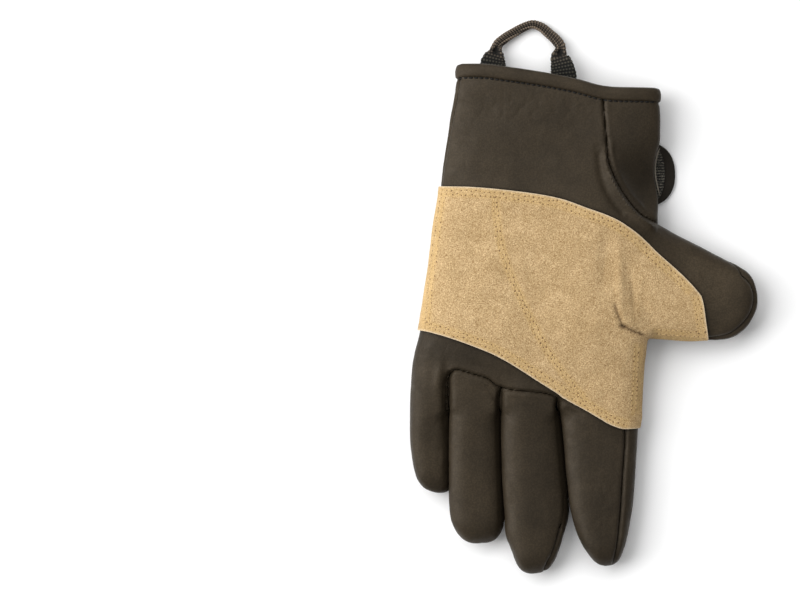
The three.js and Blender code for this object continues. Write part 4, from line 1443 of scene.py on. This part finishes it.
def closure(strap_leather_and_shade, hooks, loops, cord):
    """The strap with its hook pad, the loop pad on the wrist and the cord along the wrist's edge."""
    band("closure_strap", strap_leather_and_shade, strap_relief)
    band("strap_hook_pad", hooks, hook_relief)
    band("wrist_loop_pad", loops, fuzz_relief)
    plan = at(smooth_line(EDGE_CORD, 0.8))
    t = np.linspace(0, 1, len(plan))
    centre = raised(plan, CORD_HEIGHT + CORD_ARCH * np.sin(math.pi * t))
    side = raised(right_of(plan), 0.0)[:, None, :]
    radius = (CORD_RADIUS * np.minimum(1, 6 * np.minimum(t, 1 - t) + 0.2))[:, None, None]
    ring = spun(side, np.array([0, 0, 1.0]), CORD_SIDES)
    thread_piece("strap_edge_cord", [loft(centre[:, None, :] + ring * radius)], cord)


# Materials


class Shades:
    """A material and short ways to add nodes to it. Sizes are millimetres."""

    def __init__(self, name, roughness, **sockets):
        self.material = bpy.data.materials.new(name)
        self.material.use_nodes = True
        self.tree = self.material.node_tree
        self.shader = self.tree.nodes["Principled BSDF"]
        self.shader.inputs["Roughness"].default_value = roughness
        for key, value in sockets.items():
            self.shader.inputs[key.replace("_", " ")].default_value = value
        self.place = self.add("TexCoord").outputs["Object"]

    def link(self, source, target):
        self.tree.links.new(source, target)

    def add(self, kind, values=(), **settings):
        """A node with its settings, and with values or links for its sockets."""
        node = self.tree.nodes.new("ShaderNode" + kind)
        for key, setting in settings.items():
            setattr(node, key, setting)
        for key, value in values:
            if isinstance(value, bpy.types.NodeSocket):
                self.link(value, node.inputs[key])
            else:
                node.inputs[key].default_value = (*value, 1) if isinstance(value, tuple) else value
        return node

    def noise(self, size, detail=3.0, distortion=0.0):
        values = [("Scale", 1 / (size * MM)), ("Detail", detail), ("Distortion", distortion)]
        return self.add("TexNoise", values + [("Vector", self.place)]).outputs["Fac"]

    def cells(self, size):
        values = [("Scale", 1 / (size * MM)), ("Vector", self.place)]
        return self.add("TexVoronoi", values).outputs["Distance"]

    def attribute(self, name):
        return self.add("Attribute", attribute_name=name).outputs["Fac"]

    def ramp(self, value, *stops):
        """Colours or greys at places between 0 and 1."""
        node = self.add("ValToRGB", [("Fac", value)])
        elements = node.color_ramp.elements
        while len(elements) < len(stops):
            elements.new(0.5)
        for element, (place, colour) in zip(elements, stops):
            element.position = place
            element.color = (*colour, 1) if isinstance(colour, tuple) else (colour, colour, colour, 1)
        return node.outputs["Color"]

    def mix(self, share, first, second, kind="MIX"):
        values = [(0, share), (6, first), (7, second)]
        return self.add("Mix", values, data_type="RGBA", blend_type=kind).outputs[2]

    def maths(self, kind, first, second=0.0):
        return self.add("Math", [(0, first), (1, second)], operation=kind).outputs[0]

    def shaded(self, colour, shade, share=1.0):
        """A colour times a shade."""
        return self.mix(share, colour, shade, "MULTIPLY")

    def base(self, colour):
        self.link(colour, self.shader.inputs["Base Color"])

    def bump(self, height, depth):
        """Lets a height between 0 and 1 stand for a depth in millimetres."""
        node = self.add("Bump", [("Strength", 1.0), ("Distance", depth * MM), ("Height", height)])
        self.link(node.outputs["Normal"], self.shader.inputs["Normal"])


# Middle colour of the black leather, linear
LEATHER_COLOUR = np.array([0.0285, 0.0210, 0.0126])


def smooth_leather(name, shade=1.0):
    """Smooth goat leather: fine pores, faint creases and a satin finish."""
    look = Shades(name, 0.5, Specular_IOR_Level=0.24, Specular_Tint=(1.0, 0.88, 0.74, 1))
    cloud = look.noise(14.0, 4.0, 0.6)
    dark, light = [tuple(share * shade * LEATHER_COLOUR) for share in (0.80, 1.18)]
    colour = look.ramp(cloud, (0.3, dark), (0.7, light))
    speck = look.ramp(look.noise(0.8, 3.0), (0.42, 0.82), (0.62, 1.13))
    colour = look.shaded(colour, speck)
    # Lighter and darker places from the mesh: partly colour across the hide, partly painted light and shade
    look.base(look.shaded(colour, look.maths("ADD", 1.0, look.attribute("tone_with_painted_light"))))
    rough = look.ramp(look.noise(5.0, 4.0, 0.8), (0.3, 0.47), (0.7, 0.63))
    look.link(rough, look.shader.inputs["Roughness"])
    pores = look.ramp(look.cells(0.9), (0.0, 0.0), (0.32, 0.85), (0.7, 1.0))
    fine = look.noise(0.35, 3.0)
    creases = look.noise(2.6, 5.0, 1.6)
    height = look.maths("ADD", look.maths("MULTIPLY", pores, 0.45), look.maths("MULTIPLY", fine, 0.3))
    height = look.maths("ADD", height, look.maths("MULTIPLY", creases, 1.3))
    look.bump(height, 0.075)
    return look.material


def tan_suede():
    """Split suede: a speckled nap that lies in clouds, with a pale raw edge."""
    look = Shades("tan_suede", 0.95, Specular_IOR_Level=0.18, Sheen_Weight=0.14, Sheen_Roughness=0.5,
                  Sheen_Tint=(1.0, 0.80, 0.52, 1))
    cloud = look.ramp(look.noise(9.0, 5.0, 1.0), (0.3, (0.392, 0.264, 0.128)), (0.7, (0.480, 0.332, 0.172)))
    nap = look.noise(0.5, 5.0, 0.8)
    nap = look.ramp(nap, (0.29, (0.52, 0.43, 0.32)), (0.5, 1.0), (0.69, (1.53, 1.64, 1.80)))
    colour = look.shaded(cloud, nap)
    dots = look.ramp(look.cells(1.1), (0.05, 0.45), (0.24, 1.0))
    colour = look.shaded(colour, dots, 0.34)
    colour = look.mix(look.maths("MULTIPLY", look.attribute("stitch"), 0.35), colour, (0.54, 0.355, 0.13))
    edge = look.maths("MULTIPLY", look.attribute("edge"), 0.6)
    colour = look.mix(edge, colour, (0.72, 0.62, 0.47))
    # Painted shade in the pit and the creases at the fork under the thumb
    look.base(look.mix(look.attribute("fork_painted_shade"), colour, (0.050, 0.022, 0.008)))
    height = look.maths("ADD", look.noise(0.5, 5.0, 0.5), look.maths("MULTIPLY", look.noise(1.6, 3.0), 0.8))
    look.bump(height, 0.28)
    return look.material


def plain_thread(name, colour):
    """Twisted thread of one colour."""
    look = Shades(name, 0.75, Specular_IOR_Level=0.3)
    twist = look.ramp(look.noise(0.4, 2.0), (0.35, 0.75), (0.65, 1.1))
    look.base(look.shaded(colour, twist))
    look.bump(look.noise(0.25, 2.0), 0.05)
    return look.material


def black_webbing():
    """Woven tape: painted highlights on the crowns of its ribs and painted shade between them, and its
    folded grip is worn browner.
    """
    look = Shades("black_webbing", 0.8, Specular_IOR_Level=0.3)
    crown_painted_light = look.attribute("crown_painted_light")
    # Colour from the painted light: dark grooves, light tops
    ribbed = look.ramp(
        crown_painted_light, (0.36, (0.0015, 0.0015, 0.001)), (0.70, (0.012, 0.011, 0.008)), (0.98, (0.062, 0.058, 0.042)),
    )
    grip = look.ramp(crown_painted_light, (0.3, (0.006, 0.0045, 0.003)), (0.85, (0.20, 0.152, 0.110)))
    colour = look.mix(look.attribute("folded"), ribbed, grip)
    fibre = look.ramp(look.noise(0.3, 3.0), (0.3, 0.7), (0.7, 1.2))
    look.base(look.shaded(colour, fibre))
    look.bump(look.noise(0.28, 3.0), 0.12)
    return look.material


def tape_of(name, base, bright, depth, row_pitch=None):
    """Hook or loop tape: colour from noise, and on hook tape painted highlights along the rows of hooks,
    where their tops would catch light.
    """
    look = Shades(name, 0.7, Specular_IOR_Level=0.35)
    tips = look.noise(0.5, 4.0)
    # Painted highlights along the rows of hooks
    if row_pitch:
        split = look.add("SeparateXYZ", [(0, look.place)])
        painted_row_highlight = look.maths("SINE", look.maths("MULTIPLY", split.outputs["Y"], 2 * math.pi / (row_pitch * MM)))
        tips = look.maths("ADD", look.maths("MULTIPLY", painted_row_highlight, 0.10), tips)
    look.base(look.ramp(tips, (0.46, base), (0.72, bright)))
    look.bump(look.noise(0.3, 4.0), depth)
    return look.material


def floor_paper():
    """White paper, a little uneven."""
    look = Shades("floor_paper", 0.9, Specular_IOR_Level=0.1)
    look.base(look.ramp(look.noise(40.0, 2.0), (0.3, 0.95), (0.7, 0.97)))
    return look.material


# Floor, lights and camera: metres, watts for the lights and pixels for the photograph

FLOOR_REACH, FLOOR_DROP = 4.0, 0.0003
CAMERA_HEIGHT = 2.5
SENSOR_WIDTH = 36
PHOTO_SIZE = (800, 600)
LIGHT_AIM = (-0.02, 0, 0)
WORLD_STRENGTH = 0.17
LIGHTS = [
    ("key", (-1.45, 0.35, 1.5), 2.0, 43),
    ("side", (-1.9, -0.1, 0.7), 1.5, 17),
    ("top", (-0.3, 1.5, 1.7), 1.8, 21),
    ("low", (0.1, -1.1, 2.2), 1.8, 8),
    ("fill", (1.3, 0.4, 2.4), 2.0, 7),
]


def floor():
    """A wide white floor just under the glove."""
    mesh = bpy.data.meshes.new("floor")
    corners = [(x * FLOOR_REACH, y * FLOOR_REACH, 0) for x, y in ((-1, -1), (1, -1), (1, 1), (-1, 1))]
    mesh.from_pydata(corners, [], [(0, 1, 2, 3)])
    mesh.materials.append(floor_paper())
    plane = shown("floor", mesh)
    plane.location.z = -FLOOR_DROP


def area_light(name, place, size, power):
    """A round lamp that looks at the glove."""
    data = bpy.data.lights.new(name, "AREA")
    data.shape = "DISK"
    data.size = size
    data.energy = power
    lamp = shown(name, data)
    lamp.location = place
    lamp.rotation_euler = (Vector(LIGHT_AIM) - Vector(place)).to_track_quat("-Z", "Y").to_euler()


def studio():
    """A pale world, the lamps and plain colour handling."""
    world = bpy.data.worlds.new("studio")
    bpy.context.scene.world = world
    world.use_nodes = True
    background = world.node_tree.nodes["Background"]
    background.inputs["Color"].default_value = (1, 1, 1, 1)
    background.inputs["Strength"].default_value = WORLD_STRENGTH
    for light in LIGHTS:
        area_light(*light)
    bpy.context.scene.view_settings.view_transform = "Standard"
    bpy.context.scene.view_settings.look = "None"


def camera():
    """Looks straight down on the middle of the photograph's frame, which it fills to scale."""
    data = bpy.data.cameras.new("camera")
    cam = shown("camera", data)
    wide, high = PHOTO_SIZE
    cam.location = (*(at([wide / 2, high / 2]) * MM), CAMERA_HEIGHT)
    data.sensor_width = SENSOR_WIDTH
    data.lens = SENSOR_WIDTH * CAMERA_HEIGHT / (wide * PIXEL * MM)
    data.clip_end = 20
    bpy.context.scene.camera = cam


leather = smooth_leather("black_leather")
surface = leather_surface()
leather_tree = leather_panels(surface, leather)
patch_tree = palm_patch(surface, tan_suede())
# Tan thread, and dark brown domes as painted shade of the needle holes
patch_threads(patch_tree, plain_thread("tan_thread", (0.56, 0.39, 0.18)),
              plain_thread("needle_hole_painted_shade", (0.20, 0.115, 0.05)))
cuff_binding(leather)
hem_threads(leather_tree, plain_thread("black_thread", (0.006, 0.005, 0.004)))
hanging_loop(black_webbing())
closure(
    # The black leather darkened to 0.12 for the strap: partly its own darker colour and partly painted shade
    # under the cuff's edge
    smooth_leather("strap_leather_and_shade", 0.12),
    tape_of("hook_tape", (0.003, 0.003, 0.0025), (0.17, 0.155, 0.12), 0.15, HOOK_PITCH),
    tape_of("loop_tape", (0.012, 0.011, 0.010), (0.05, 0.047, 0.042), 0.3),
    plain_thread("edge_cord", (0.26, 0.23, 0.185)),
)
floor()
studio()
camera()
